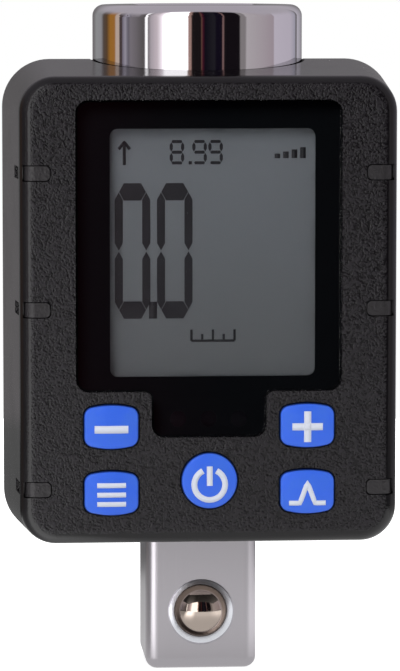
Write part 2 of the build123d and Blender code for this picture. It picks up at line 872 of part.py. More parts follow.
with BuildPart() as keypad_web:
    with BuildSketch(layer(web_out)):
        with Locations((0, (web_top_z + web_bottom_z) / 2)):
            RectangleRounded(web_width, web_top_z - web_bottom_z, key_corner)
        with Locations(*key_places.values()):
            Circle(key_stem_diameter / 2 + web_hole_play, mode=Mode.SUBTRACT)
        with Locations((0, bottom_z + lamp_row_height)):
            Rectangle(2 * lamp_pitch + 2 * lamp_size, 1.5 * lamp_size, mode=Mode.SUBTRACT)
    extrude(amount=web_thickness)
    foot_z = (upper_row_z + lower_row_z) / 2
    outer_foot_x = web_width / 2 - web_foot_diameter
    inner_foot_x = column - switch_size / 2 - web_foot_diameter
    with BuildSketch(layer(board_out)):
        with Locations(*[(side * x, foot_z) for side in (-1, 1) for x in (inner_foot_x, outer_foot_x)]):
            Circle(web_foot_diameter / 2)
    extrude(amount=web_out - board_out)
finish(keypad_web.part, "keypad_web")

# Indicator lamps on the board, behind the window's tab
with BuildPart() as indicator_lamps:
    with BuildSketch(layer(board_out)):
        with Locations((0, bottom_z + lamp_row_height)):
            with GridLocations(lamp_pitch, 0, 3, 1):
                Rectangle(lamp_size, lamp_size)
    extrude(amount=lamp_height)
finish(indicator_lamps.part, "indicator_lamps")

# Buzzer and signal chips on the back of the board
buzzer_x = frame_inner_x - buzzer_side_gap - buzzer_diameter / 2
controller_x = frame_inner_x - controller_side_gap - controller_size / 2
amplifier_x = frame_inner_x - amplifier_side_gap - amplifier_size / 2
buzzer_place = (-buzzer_x, bottom_z + buzzer_height_above_bottom)
controller_place = (controller_x, bottom_z + controller_height_above_bottom)
amplifier_place = (-amplifier_x, bottom_z + amplifier_height_above_bottom)

with BuildPart() as buzzer:
    with BuildSketch(layer(board_back_out)):
        with Locations(buzzer_place):
            Circle(buzzer_diameter / 2)
    extrude(amount=-buzzer_height)
    fillet(buzzer.faces().sort_by(Axis.Y)[-1].edges(), buzzer_rounding)
    with BuildSketch(layer(board_back_out - buzzer_height)):
        with Locations(buzzer_place):
            Circle(buzzer_sound_hole / 2)
    extrude(amount=buzzer_height / 2, mode=Mode.SUBTRACT)
finish(buzzer.part, "buzzer")

with BuildPart() as signal_chips:
    with BuildSketch(layer(board_back_out)):
        with Locations(controller_place):
            Rectangle(controller_size, controller_size)
        with Locations(amplifier_place):
            Rectangle(amplifier_size, amplifier_size)
    extrude(amount=-chip_height, taper=chip_draft)
finish(signal_chips.part, "signal_chips")

# Torque spindle: male square, journal, gauged neck, shank and socket head in one steel piece
journal_top_z = shoulder_z + journal_length
neck_top_z = journal_top_z + neck_length
groove_z = head_top_z - (square_length - ball_height)

with BuildPart() as torque_spindle:
    with BuildSketch(level(0)):
        RectangleRounded(square_size, square_size, square_edge_radius)
    extrude(amount=shoulder_z)
    fillet(torque_spindle.faces().sort_by(Axis.Z)[0].edges(), square_tip_radius)
    with BuildSketch(Plane.XZ) as turning:
        with BuildLine():
            Polyline(
                (0, shoulder_z), (journal_radius, shoulder_z), (journal_radius, journal_top_z),
                (neck_diameter / 2, journal_top_z + neck_taper_length / 2),
                (neck_diameter / 2, neck_top_z), (shank_radius, neck_top_z + neck_taper_length),
                (shank_radius, inner_top_z), (head_radius, inner_top_z),
                (head_radius, head_top_z), (0, head_top_z), close=True,
            )
        make_face()
        neck_corners = turning.vertices().filter_by_position(
            Axis.X, neck_diameter / 2 - 0.01, neck_diameter / 2 + 0.01
        )
        fillet(neck_corners, neck_fillet)
        fillet(turning.vertices().group_by(Axis.Y)[-1].sort_by(Axis.X)[-1], head_rounding)
    revolve(axis=Axis.Z)
    shoulder_edges = torque_spindle.edges().filter_by_position(Axis.Z, shoulder_z - 0.01, shoulder_z + 0.01)
    fillet(shoulder_edges.sort_by(SortBy.LENGTH)[:-1], root_fillet)
    with BuildSketch(level(head_top_z)):
        RectangleRounded(socket_size, socket_size, socket_corner_radius)
    extrude(amount=-socket_depth, mode=Mode.SUBTRACT)
    mouth = torque_spindle.faces().sort_by(Axis.Z)[-1].inner_wires()[0]
    chamfer(mouth.edges(), socket_lead_in)
    with Locations((0, 0, head_top_z - socket_depth - drill_point_depth / 2)):
        Cone(0, drill_point_radius, drill_point_depth, mode=Mode.SUBTRACT)
    with BuildSketch(Plane.XZ):
        with Locations((socket_size / 2 + socket_groove_depth - socket_groove_radius, groove_z)):
            Circle(socket_groove_radius)
    revolve(axis=Axis.Z, mode=Mode.SUBTRACT)
    with BuildSketch(Plane.YZ):
        face = -square_size / 2
        lip = face + detent_mouth_depth
        hole_radius = ball_diameter / 2 + ball_play
        lip_gap_depth = ball_depth - detent_mouth_depth
        lip_radius = sqrt((ball_diameter / 2) ** 2 - lip_gap_depth ** 2) + ball_play / 2
        hole_end = face + ball_depth + ball_diameter / 2 + detent_spring_length
        with BuildLine():
            Polyline(
                (face, ball_height), (face, ball_height + detent_mouth_diameter / 2),
                (lip, ball_height + lip_radius), (lip, ball_height + hole_radius),
                (hole_end, ball_height + hole_radius), (hole_end, ball_height), close=True,
            )
        make_face()
    revolve(axis=Axis((0, 0, ball_height), (0, 1, 0)), mode=Mode.SUBTRACT)
    gauge_z = (journal_top_z + neck_taper_length / 2 + neck_top_z) / 2
    flat_out = neck_diameter / 2 - gauge_flat_depth
    with BuildSketch(level(gauge_z - gauge_flat_length / 2)):
        with Locations((0, flat_out + neck_diameter / 2), (0, -flat_out - neck_diameter / 2)):
            Rectangle(neck_diameter, neck_diameter)
    extrude(amount=gauge_flat_length, mode=Mode.SUBTRACT)
    with BuildSketch(layer(-journal_radius)):
        with Locations((0, pin_z)):
            Circle(pin_diameter / 2 + pin_play)
    extrude(amount=pin_hole_depth, mode=Mode.SUBTRACT)
finish(torque_spindle.part, "torque_spindle")

# Detent ball and the spring that pushes it out
ball_y = -square_size / 2 + ball_depth

with BuildPart() as detent_ball:
    with Locations((0, ball_y, ball_height)):
        Sphere(ball_diameter / 2)
finish(detent_ball.part, "detent_ball")

spring_start = ball_y + ball_diameter / 2 + detent_spring_wire
spring_height = detent_spring_length - 2 * detent_spring_wire

with BuildPart() as detent_spring:
    with BuildLine() as coil:
        Helix(
            spring_height / detent_spring_turns, spring_height,
            (detent_spring_diameter - detent_spring_wire) / 2,
            center=(0, spring_start, ball_height), direction=(0, 1, 0),
        )
    with BuildSketch(Plane(coil.line @ 0, z_dir=coil.line % 0)):
        Circle(detent_spring_wire / 2)
    sweep(is_frenet=True)
finish(detent_spring.part, "detent_spring")

# Strain gauges on the neck's flats and the flexible lead to the board
with BuildPart() as strain_gauges:
    for side in (-1, 1):
        with BuildSketch(layer(side * flat_out)):
            with Locations((0, gauge_z)):
                RectangleRounded(gauge_width, gauge_length, gauge_corner)
        extrude(amount=side * gauge_thickness)
finish(strain_gauges.part, "strain_gauges")

with BuildPart() as gauge_flex:
    gauge_face = -flat_out - gauge_thickness - flex_thickness / 2
    board_face = -board_back_out + flex_thickness / 2
    rise = gauge_z + gauge_length / 2 + flex_bend
    with BuildSketch(Plane.YZ.offset(-flex_width / 2)):
        with BuildLine():
            FilletPolyline(
                (gauge_face, gauge_z), (gauge_face, rise), (board_face, rise),
                (board_face, rise + 2 * flex_bend), radius=flex_bend,
            )
        trace(line_width=flex_thickness)
    extrude(amount=flex_width)
finish(gauge_flex.part, "gauge_flex")

# Bushes that centre the housing on the spindle
for bush_name, bush_z, shaft_radius, bush_wall in (
    ("upper_bush", upper_bush_z, shank_radius, upper_bush_wall),
    ("lower_bush", lower_bush_z, journal_radius, lower_bush_wall),
):
    with BuildPart() as bush:
        with BuildSketch(level(bush_z)):
            Circle(shaft_radius + bush_wall)
            Circle(shaft_radius + bush_play, mode=Mode.SUBTRACT)
        extrude(amount=bush_height)
    finish(bush.part, bush_name)

# Locating pin: keys the rear cover to the spindle's journal
with BuildPart() as locating_pin:
    with BuildSketch(layer(pin_hole_depth - journal_radius - pin_end_gap)):
        with Locations((0, pin_z)):
            Circle(pin_diameter / 2)
    extrude(amount=-pin_length)
    chamfer(locating_pin.edges().filter_by(GeomType.CIRCLE), pin_chamfer)
finish(locating_pin.part, "locating_pin")

# Housing screws, seated deep in the rear cover's counterbores
with BuildPart() as housing_screws:
    with BuildSketch(layer(-screw_seat_depth)):
        with Locations(*screw_places):
            Circle(screw_head_diameter / 2)
    extrude(amount=-screw_head_height)
    crowns = housing_screws.faces().sort_by(Axis.Y)[-4:]
    fillet([edge for crown in crowns for edge in crown.edges()], screw_head_height / 3)
    with BuildSketch(layer(-screw_seat_depth)):
        with Locations(*screw_places):
            Circle(screw_diameter / 2)
    extrude(amount=screw_length - screw_seat_depth - screw_head_height)
    with BuildSketch(layer(-screw_seat_depth - screw_head_height)):
        with Locations(*screw_places):
            Rectangle(screw_head_diameter * recess_span, screw_head_diameter * recess_slot)
            Rectangle(screw_head_diameter * recess_slot, screw_head_diameter * recess_span)
    extrude(amount=screw_head_height / 2, mode=Mode.SUBTRACT)
finish(housing_screws.part, "housing_screws")

# Battery cells, one up and one down
lower_contact_z = bay_bottom_z + contact_thickness
upper_contact_z = bay_top_z - contact_thickness
can_length = cell_length - cell_nub_height

with BuildPart() as battery_cells:
    for side in (-1, 1):
        can_z = upper_contact_z - cell_length if side < 0 else lower_contact_z + cell_nub_height
        with BuildSketch(level(can_z)):
            with Locations((side * cell_x, cell_axis_behind)):
                Circle(cell_diameter / 2)
        extrude(amount=can_length)
    fillet(battery_cells.edges().filter_by(GeomType.CIRCLE), cell_end_rounding)
    for side in (-1, 1):
        nub_z = upper_contact_z - cell_nub_height if side < 0 else lower_contact_z
        with BuildSketch(level(nub_z)):
            with Locations((side * cell_x, cell_axis_behind)):
                Circle(cell_nub_diameter / 2)
        extrude(amount=cell_nub_height)
finish(battery_cells.part, "battery_cells")

# Contact plates at both ends of the bay, the lower one in two halves
with BuildPart() as contact_plates:
    plate_y = cell_axis_behind + contact_shift
    with BuildSketch(level(upper_contact_z)):
        with Locations((0, plate_y + contact_depth / 2 - contact_strap_width / 2)):
            Rectangle(2 * cell_x, contact_strap_width)
        with Locations((-cell_x, plate_y), (cell_x, plate_y)):
            RectangleRounded(contact_width, contact_depth, contact_corner)
    extrude(amount=contact_thickness)
    with BuildSketch(level(bay_bottom_z)):
        with Locations((-cell_x, plate_y), (cell_x, plate_y)):
            RectangleRounded(contact_width, contact_depth, contact_corner)
    extrude(amount=contact_thickness)
finish(contact_plates.part, "contact_plates")

# Battery springs: bowed strips between a contact plate and the cell's flat end
bow_rise = battery_spring_room - battery_spring_thickness
bow_end = battery_spring_length / 2
foot_end = bow_end + battery_spring_foot_length

with BuildPart() as battery_springs:
    for side, plate_z, direction in ((-1, lower_contact_z, 1), (1, upper_contact_z, -1)):
        foot_z = plate_z + direction * battery_spring_thickness / 2
        crown_z = foot_z + direction * bow_rise
        middle = side * cell_x
        with BuildSketch(layer(-cell_axis_behind - battery_spring_width / 2)):
            with BuildLine():
                Line((middle - foot_end, foot_z), (middle - bow_end, foot_z))
                ThreePointArc((middle - bow_end, foot_z), (middle, crown_z), (middle + bow_end, foot_z))
                Line((middle + bow_end, foot_z), (middle + foot_end, foot_z))
            trace(line_width=battery_spring_thickness)
        extrude(amount=battery_spring_width)
finish(battery_springs.part, "battery_springs")

# Battery leads from the bay's lower end to the board
lead_z = bay_bottom_z + lead_height
lead_x = journal_radius + lower_bush_wall + lead_diameter / 2 + lead_side_gap
tray_face_y = cell_axis_behind - sqrt(tray_radius ** 2 - lead_offset ** 2)

with BuildPart() as battery_leads:
    for side in (-1, 1):
        with BuildLine() as route:
            FilletPolyline(
                (side * (cell_x + lead_offset), tray_face_y - lead_end_gap, lead_z),
                (side * (cell_x + lead_offset), tray_face_y - lead_bend_length, lead_z),
                (side * lead_x, tray_face_y - 1.7 * lead_bend_length, lead_z + lead_bend_length / 2),
                (side * lead_x, -board_back_out, lead_z + lead_bend_length / 2),
                radius=lead_bend_length / 3,
            )
        with BuildSketch(Plane(route.line @ 0, z_dir=route.line % 0)):
            Circle(lead_diameter / 2)
        sweep()
finish(battery_leads.part, "battery_leads")
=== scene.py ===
# %% [markdown]
# A digital torque adapter stands between a wrench and a socket and shows how hard the wrench turns.
# This notebook dresses its solids: chrome, textured plastic, blue keys and a grey liquid-crystal
# display. The solids are loaded first and are never moved, so each new piece is measured from them.

# %% Load the solids
import bpy
import bmesh
import json
import math
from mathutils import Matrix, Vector


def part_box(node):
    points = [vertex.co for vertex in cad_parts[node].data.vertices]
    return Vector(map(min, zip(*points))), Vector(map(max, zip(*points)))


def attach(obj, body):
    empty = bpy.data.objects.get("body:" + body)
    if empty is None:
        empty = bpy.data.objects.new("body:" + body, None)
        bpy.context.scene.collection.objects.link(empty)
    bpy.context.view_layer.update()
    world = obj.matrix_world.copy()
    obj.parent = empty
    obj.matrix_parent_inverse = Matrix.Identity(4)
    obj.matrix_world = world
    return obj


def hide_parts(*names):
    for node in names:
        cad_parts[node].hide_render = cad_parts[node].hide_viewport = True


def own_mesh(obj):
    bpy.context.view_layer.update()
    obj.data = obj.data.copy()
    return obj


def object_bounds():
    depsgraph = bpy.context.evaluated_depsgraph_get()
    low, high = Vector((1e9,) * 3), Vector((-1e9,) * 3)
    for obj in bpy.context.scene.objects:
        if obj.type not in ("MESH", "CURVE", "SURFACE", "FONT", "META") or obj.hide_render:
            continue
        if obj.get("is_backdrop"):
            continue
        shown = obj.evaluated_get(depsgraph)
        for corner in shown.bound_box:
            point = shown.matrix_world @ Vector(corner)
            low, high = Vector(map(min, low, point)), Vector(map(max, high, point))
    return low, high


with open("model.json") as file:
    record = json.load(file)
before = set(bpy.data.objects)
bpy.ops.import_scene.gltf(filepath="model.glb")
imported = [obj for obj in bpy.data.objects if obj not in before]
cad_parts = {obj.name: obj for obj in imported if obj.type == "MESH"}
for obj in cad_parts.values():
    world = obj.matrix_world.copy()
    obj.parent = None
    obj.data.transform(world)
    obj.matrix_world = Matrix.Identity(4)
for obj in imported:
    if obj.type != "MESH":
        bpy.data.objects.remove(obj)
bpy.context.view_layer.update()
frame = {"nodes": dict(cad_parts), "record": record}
nodes = frame["nodes"]
mm = 0.001

# %% [markdown]
# The view comes first, because every later choice is judged through it. A photograph is matched by
# giving the camera the real distance and a lens to suit, and not by guessing a zoom: 0.45 m away, a
# little to the left and above the window. The focal length is measured in pixels of the picture,
# and Blender wants it against a sensor whose long side is 36 mm.

# %% Camera
photo_height = 671
focal_length_px = 3894.4
camera_place = Vector((-32.35, -446.68, 81.52)) * mm
camera_target = Vector((0.333, 0.0, 37.87)) * mm


def look_at_part(thing, place):
    """Put a camera or a lamp at a place, turn it to the part and add it to the scene."""
    thing.location = place
    thing.rotation_euler = (camera_target - place).to_track_quat("-Z", "Y").to_euler()
    bpy.context.scene.collection.objects.link(thing)


camera_data = bpy.data.cameras.new("photo_camera")
camera_data.sensor_width = 36.0
camera_data.lens = focal_length_px * camera_data.sensor_width / photo_height
camera = bpy.data.objects.new("photo_camera", camera_data)
look_at_part(camera, camera_place)
bpy.context.scene.camera = camera
bpy.context.scene.view_settings.view_transform = "Standard"
print("lens in mm:", round(camera_data.lens, 1))

# %% [markdown]
# Most of what follows is made of nodes, so a few small helpers keep the trees short. A node can be
# handed over in place of its first output, which lets one call stand inside another.

# %% Node helpers
def feed(tree, socket, value):
    """Link a socket, or a node's first output, to this input, or set the input to a plain value."""
    if isinstance(value, bpy.types.Node):
        value = value.outputs[0]
    if isinstance(value, bpy.types.NodeSocket):
        tree.links.new(value, socket)
    else:
        socket.default_value = value


def add_node(tree, kind, inputs=(), **settings):
    """Add a node, set its plain attributes, then feed its inputs, given as a dictionary."""
    node = tree.nodes.new(kind)
    for name, value in settings.items():
        setattr(node, name, value)
    for name, value in dict(inputs).items():
        feed(tree, node.inputs[name], value)
    return node


def arithmetic(tree, operation, *values):
    """A Math node as a function: its values are sockets or numbers."""
    return add_node(tree, "ShaderNodeMath", enumerate(values), operation=operation).outputs[0]


def vector_math(tree, operation, *values):
    """A Vector Math node as a function."""
    node = add_node(tree, "ShaderNodeVectorMath", enumerate(values), operation=operation)
    return node.outputs["Value" if operation == "LENGTH" else "Vector"]


def split(tree, vector):
    """The X, Y and Z of a vector as three sockets."""
    return add_node(tree, "ShaderNodeSeparateXYZ", {0: vector}).outputs


def combine(tree, x=0.0, y=0.0, z=0.0):
    """A vector made of three sockets or numbers."""
    return add_node(tree, "ShaderNodeCombineXYZ", {"X": x, "Y": y, "Z": z}).outputs[0]


def smooth_step(tree, value, low, high):
    """0 below low, 1 above high, and an eased rise between them."""
    ends = {"Value": value, "From Min": low, "From Max": high}
    return add_node(tree, "ShaderNodeMapRange", ends, interpolation_type="SMOOTHSTEP").outputs["Result"]


def mix_colours(tree, share, first, second):
    """A colour Mix node: the first colour at share 0, the second at share 1."""
    ends = {"Factor": share, "A": first, "B": second}
    return add_node(tree, "ShaderNodeMix", ends, data_type="RGBA").outputs["Result"]


def coordinates(tree, kind):
    """A place on the object, the way its surface faces, or the way a ray looks into the world."""
    return add_node(tree, "ShaderNodeTexCoord").outputs[kind]


def kind_of_ray(tree, kind):
    """1 for this kind of ray, and 0 for all others."""
    return add_node(tree, "ShaderNodeLightPath").outputs[kind]


# %% [markdown]
# Chrome shows its room. The real head mirrors a white lamp to the left, a dark room behind the
# camera and pale walls to the right, in upright bands. They are listed here by their angle around
# the object, in two half turns, because one colour ramp has too few stops for them all.

# %% Bands of the room
band_gain = 2.4  # the brightest band, because a ramp's own colours stay below 1
border_width = 0.006  # as a share of the half turn
left_bands = (
    # degrees around the object, 0 towards the camera, then the colour, and whether the band starts at
    # a hard border or is blended from the one before
    (-180, (0.21, 0.20, 0.21), "hard"),
    (-173, (0.195, 0.185, 0.19), "soft"),
    (-163, (0.195, 0.185, 0.19), "soft"),
    (-150, (0.33, 0.34, 0.34), "soft"),
    (-136, (0.33, 0.33, 0.34), "soft"),
    (-130, (0.11, 0.085, 0.07), "soft"),
    (-122, (0.12, 0.07, 0.035), "soft"),
    (-115, (0.40, 0.18, 0.03), "soft"),
    (-107, (0.40, 0.18, 0.04), "soft"),
    (-104, (0.60, 0.48, 0.40), "soft"),
    (-99.5, (0.08, 0.06, 0.06), "hard"),
    (-94, (0.22, 0.20, 0.25), "hard"),
    (-90, (0.40, 0.38, 0.44), "soft"),
    (-86, (0.16, 0.15, 0.18), "soft"),
    (-82, (0.24, 0.22, 0.24), "soft"),
    (-66, (0.13, 0.12, 0.12), "soft"),
    (-63, (1.60, 1.60, 1.60), "hard"),
    (-59.5, (0.19, 0.18, 0.18), "hard"),
    (-56, (0.52, 0.47, 0.50), "soft"),
    (-49, (0.72, 0.64, 0.67), "soft"),
    (-43, (1.30, 1.20, 1.26), "soft"),
    (-39, (2.40, 2.40, 2.40), "soft"),
    (-14.2, (0.44, 0.28, 0.24), "hard"),
    (-9.6, (0.012, 0.009, 0.010), "hard"),
)
right_bands = (
    (0, (0.012, 0.009, 0.010), "hard"),
    (0.4, (0.16, 0.08, 0.06), "hard"),
    (1.4, (0.075, 0.010, 0.024), "hard"),
    (4, (0.006, 0.005, 0.010), "soft"),
    (15, (0.018, 0.017, 0.022), "soft"),
    (17, (0.007, 0.005, 0.012), "soft"),
    (24, (0.28, 0.17, 0.16), "hard"),
    (25.6, (0.008, 0.006, 0.008), "hard"),
    (44, (0.28, 0.26, 0.26), "hard"),
    (51, (0.53, 0.50, 0.51), "hard"),
    (87, (0.43, 0.37, 0.40), "soft"),
    (89, (0.62, 0.58, 0.65), "hard"),
    (120, (0.58, 0.54, 0.61), "soft"),
    (132, (0.42, 0.41, 0.48), "soft"),
    (134, (0.18, 0.17, 0.18), "hard"),
    (139, (0.56, 0.54, 0.60), "hard"),
    (166, (0.22, 0.21, 0.22), "soft"),
    (177, (0.22, 0.21, 0.22), "soft"),
)


def band_stops(room, bands):
    """Turn a half turn of bands into stops: two at a hard border, one where a band is blended in."""
    stops = room.color_ramp.elements
    start = bands[0][0]
    for stop, (_, colour, _) in zip(stops, (bands[0], bands[-1])):
        stop.color = [channel / band_gain for channel in colour] + [1.0]
    for (_, before, _), (degrees, after, border) in zip(bands, bands[1:]):
        sides = ((-0.5, before), (0.5, after)) if border == "hard" else ((0.0, after),)
        for side, colour in sides:
            stop = stops.new((degrees - start) / 180.0 + side * border_width)
            stop.color = [channel / band_gain for channel in colour] + [1.0]
    return len(stops)


def half_turn(tree, sideways, forward):
    """The angle around the object from -1 to 1 half turns, 0 towards the camera."""
    return arithmetic(tree, "MULTIPLY", arithmetic(tree, "ARCTAN2", sideways, forward), 1.0 / math.pi)


# %% [markdown]
# The world paints those bands: the angle of a ray picks its colour from the two ramps, and rays that
# rise meet a pale ceiling, later above the dark doorway in front. Only shiny rays see the bands. Soft
# light for everything else stays even, and the camera sees white.

# %% World
ceiling_colour = (0.50, 0.47, 0.51, 1.0)
ceiling_start, ceiling_end = 0.10, 0.55
doorway_start, doorway_end = 0.20, 0.80
doorway_rise = 0.72
waviness, wave_scale = 0.022, 9.0
soft_light = (0.42, 0.42, 0.4284, 1.0)
white = (1.0, 1.0, 1.0, 1.0)

world = bpy.data.worlds.new("studio")
bpy.context.scene.world = world
world.use_nodes = True
sky = world.node_tree
sky.nodes.clear()
direction = coordinates(sky, "Generated")
sideways, backwards, upwards = split(sky, direction)
forward = arithmetic(sky, "MULTIPLY", backwards, -1.0)
ripple = add_node(sky, "ShaderNodeTexNoise", {"Vector": direction, "Scale": wave_scale}).outputs["Fac"]
wave = arithmetic(sky, "MULTIPLY_ADD", ripple, waviness, -0.5 * waviness)
turn = arithmetic(sky, "ADD", half_turn(sky, sideways, forward), wave)
halves = []
for bands, shift in ((left_bands, 1.0), (right_bands, 0.0)):
    room = add_node(sky, "ShaderNodeValToRGB", {0: arithmetic(sky, "ADD", turn, shift)})
    stop_count = band_stops(room, bands)
    print("band stops:", stop_count)
    halves.append(room.outputs["Color"])
room_colour = mix_colours(sky, arithmetic(sky, "GREATER_THAN", turn, 0.0), *halves)
walls = add_node(sky, "ShaderNodeVectorMath", {0: room_colour, "Scale": band_gain}, operation="SCALE")
doorway = smooth_step(sky, forward, doorway_start, doorway_end)
height = arithmetic(sky, "MULTIPLY_ADD", doorway, -doorway_rise, upwards)
rise = smooth_step(sky, height, ceiling_start, ceiling_end)
mirrored = mix_colours(sky, rise, walls, ceiling_colour)
seen = mix_colours(sky, kind_of_ray(sky, "Is Glossy Ray"), soft_light, mirrored)
seen = mix_colours(sky, kind_of_ray(sky, "Is Camera Ray"), seen, white)
background = add_node(sky, "ShaderNodeBackground", {"Color": seen})
add_node(sky, "ShaderNodeOutputWorld", {"Surface": background})

# %% [markdown]
# Three large lamps give the soft shading: a broad one high at the left, as the photograph's highlights
# say, a weaker one at the right, and one behind that serves the views from the back. Mirrors already
# see the painted room, so the lamps are hidden from shiny rays.

# %% Lamps
lamps = (
    # name, place in metres, size in metres, power in watts
    ("key_lamp", (-0.27, -0.36, 0.40), 0.28, 1.30),
    ("fill_lamp", (0.45, -0.40, 0.30), 0.40, 0.3),
    ("rear_lamp", (0.16, 0.50, 0.26), 0.36, 3.0),
)
for name, place, size, power in lamps:
    lamp = bpy.data.lights.new(name, "AREA")
    lamp.size = size
    lamp.energy = power
    stand = bpy.data.objects.new(name, lamp)
    stand.visible_glossy = False
    look_at_part(stand, Vector(place))
    print(name, "distance in m:", round((camera_target - stand.location).length, 2))

# %% [markdown]
# The floor's paper is pale, and a part of its white is its own, so that only the shadow shows. Shiny
# rays see a painted floor: brighter at the left, which draws the bright line on the square's edge, and
# dark further out, where the sides of the housing look. The dark zone starts nearer behind the part
# than in front.

# %% Floor paper
paper_white = (0.86, 0.86, 0.86, 1.0)
floor_glow = 0.72
floor_near = 0.72
level_scale = 4.0
near_end, middle_start = 10 * mm, 34 * mm
middle_end, far_start = 84 * mm, 100 * mm
far_lead = 0.4
floor_levels = {
    # degrees around the object, and how bright the floor is there for shiny rays
    "middle": (
        (-180, 0.66), (-120, 0.66), (-84, 0.42), (-64, 0.42), (-50, 2.6), (-34, 2.6), (-20, 0.98),
        (30, 0.98), (60, 1.50), (125, 1.20), (180, 0.66),
    ),
    "far": (
        (-180, 0.14), (-156, 0.14), (-140, 0.05), (-62, 0.05), (-50, 2.6), (-16, 2.6), (-9, 0.08),
        (40, 0.08), (60, 0.20), (120, 0.20), (180, 0.14),
    ),
}


def new_material(name):
    """An empty node material, its tree and its output node."""
    material = bpy.data.materials.new(name)
    material.use_nodes = True
    material.node_tree.nodes.clear()
    return material, material.node_tree, add_node(material.node_tree, "ShaderNodeOutputMaterial")


def floor_grey(level):
    """A grey for a ramp or a mix, scaled so that levels above 1 fit into a colour."""
    return (level / level_scale,) * 3 + (1.0,)


floor_material, tree, output = new_material("floor_paper")
spot = coordinates(tree, "Object")
across, back, _ = split(tree, spot)
around = half_turn(tree, across, arithmetic(tree, "MULTIPLY", back, -1.0))
ramp_place = arithmetic(tree, "MULTIPLY_ADD", around, 0.5, 0.5)
painted = {}
for zone, levels in floor_levels.items():
    ramp = add_node(tree, "ShaderNodeValToRGB", {0: ramp_place})
    stops = ramp.color_ramp.elements
    for stop, (_, level) in zip(stops, (levels[0], levels[-1])):
        stop.color = floor_grey(level)
    for degrees, level in levels[1:-1]:
        stops.new(degrees / 360.0 + 0.5).color = floor_grey(level)
    painted[zone] = ramp.outputs["Color"]
distance = vector_math(tree, "LENGTH", spot)
away = smooth_step(tree, distance, near_end, middle_start)
sheen = mix_colours(tree, away, floor_grey(floor_near), painted["middle"])
far_away = smooth_step(
    tree, arithmetic(tree, "MULTIPLY_ADD", back, far_lead, distance), middle_end, far_start
)
sheen = mix_colours(tree, far_away, sheen, painted["far"])
paper = add_node(tree, "ShaderNodeBsdfDiffuse", {"Color": paper_white})
own_light = arithmetic(tree, "MULTIPLY", kind_of_ray(tree, "Is Camera Ray"), floor_glow)
glow = add_node(tree, "ShaderNodeEmission", {"Strength": own_light})
for_camera = add_node(tree, "ShaderNodeAddShader", {0: paper, 1: glow})
for_mirrors = add_node(tree, "ShaderNodeEmission", {"Color": sheen, "Strength": level_scale})
floor_look = add_node(
    tree, "ShaderNodeMixShader", {0: kind_of_ray(tree, "Is Glossy Ray"), 1: for_camera, 2: for_mirrors}
)
feed(tree, output.inputs["Surface"], floor_look)
print("floor zones:", list(painted))

# %% [markdown]
# The floor itself is a disc just under the square, small enough that the window does not mirror it.

# %% Floor disc
floor_radius = 240 * mm
floor_corners = 96
floor_drop = 0.05 * mm

floor_shape = bmesh.new()
bmesh.ops.create_circle(floor_shape, cap_ends=True, segments=floor_corners, radius=floor_radius)
bmesh.ops.translate(floor_shape, verts=floor_shape.verts, vec=(0.0, 0.0, -floor_drop))
floor_mesh = bpy.data.meshes.new("floor")
floor_shape.to_mesh(floor_mesh)
floor_shape.free()
floor = bpy.data.objects.new("floor", floor_mesh)
floor_mesh.materials.append(floor_material)
bpy.context.scene.collection.objects.link(floor)
floor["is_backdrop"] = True
print("floor radius in mm:", round(floor_radius / mm))

# %% [markdown]
# Three effects turn up in several finishes, so each is a node group with named sliders. Moulded grain
# is the dimpled skin that spark erosion leaves in a mould. Drawn lines are the fine straight scratches
# of ground or drawn metal. Handling is the faint, cloudy change in shine where hands have been.

# %% Shared effects
coarse_to_fine_scale = 0.4
sparkle_start, sparkle_end = 0.52, 0.72
cloud_start, cloud_end = 0.42, 0.68
line_stretch = (1.0, 1.0, 0.03)


def new_effect(name, inputs, outputs):
    """A shader group with float inputs (name, default) and named outputs, and its two end nodes."""
    group = bpy.data.node_groups.new(name, "ShaderNodeTree")
    for socket_name, default in inputs:
        socket = group.interface.new_socket(socket_name, in_out="INPUT", socket_type="NodeSocketFloat")
        socket.default_value = default
    for socket_name in outputs:
        group.interface.new_socket(socket_name, in_out="OUTPUT", socket_type="NodeSocketFloat")
    return group, add_node(group, "NodeGroupInput"), add_node(group, "NodeGroupOutput")


def noise(tree, scale, detail=2.0, stretch=None):
    """Noise on the object's own coordinates, stretched along an axis if asked."""
    place = coordinates(tree, "Object")
    if stretch is not None:
        place = add_node(tree, "ShaderNodeMapping", {"Vector": place, "Scale": stretch})
    sliders = {"Vector": place, "Scale": scale, "Detail": detail}
    return add_node(tree, "ShaderNodeTexNoise", sliders).outputs["Fac"]


grain, given, made = new_effect(
    "moulded_grain", [("Grain Scale", 4200.0), ("Coarse Share", 0.35)], ["Height", "Sparkle"]
)
fine = noise(grain, given.outputs["Grain Scale"], detail=1.5)
coarse_scale = arithmetic(grain, "MULTIPLY", given.outputs["Grain Scale"], coarse_to_fine_scale)
coarse = noise(grain, coarse_scale, detail=1.0)
blend = add_node(
    grain, "ShaderNodeMix", {"Factor": given.outputs["Coarse Share"], "A": fine, "B": coarse},
    data_type="FLOAT",
)
feed(grain, made.inputs["Height"], blend.outputs["Result"])
feed(grain, made.inputs["Sparkle"], smooth_step(grain, fine, sparkle_start, sparkle_end))

drawn, given, made = new_effect("drawn_lines", [("Line Scale", 900.0), ("Depth", 1.0)], ["Height"])
lines = noise(drawn, given.outputs["Line Scale"], detail=3.0, stretch=line_stretch)
feed(drawn, made.inputs["Height"], arithmetic(drawn, "MULTIPLY", lines, given.outputs["Depth"]))

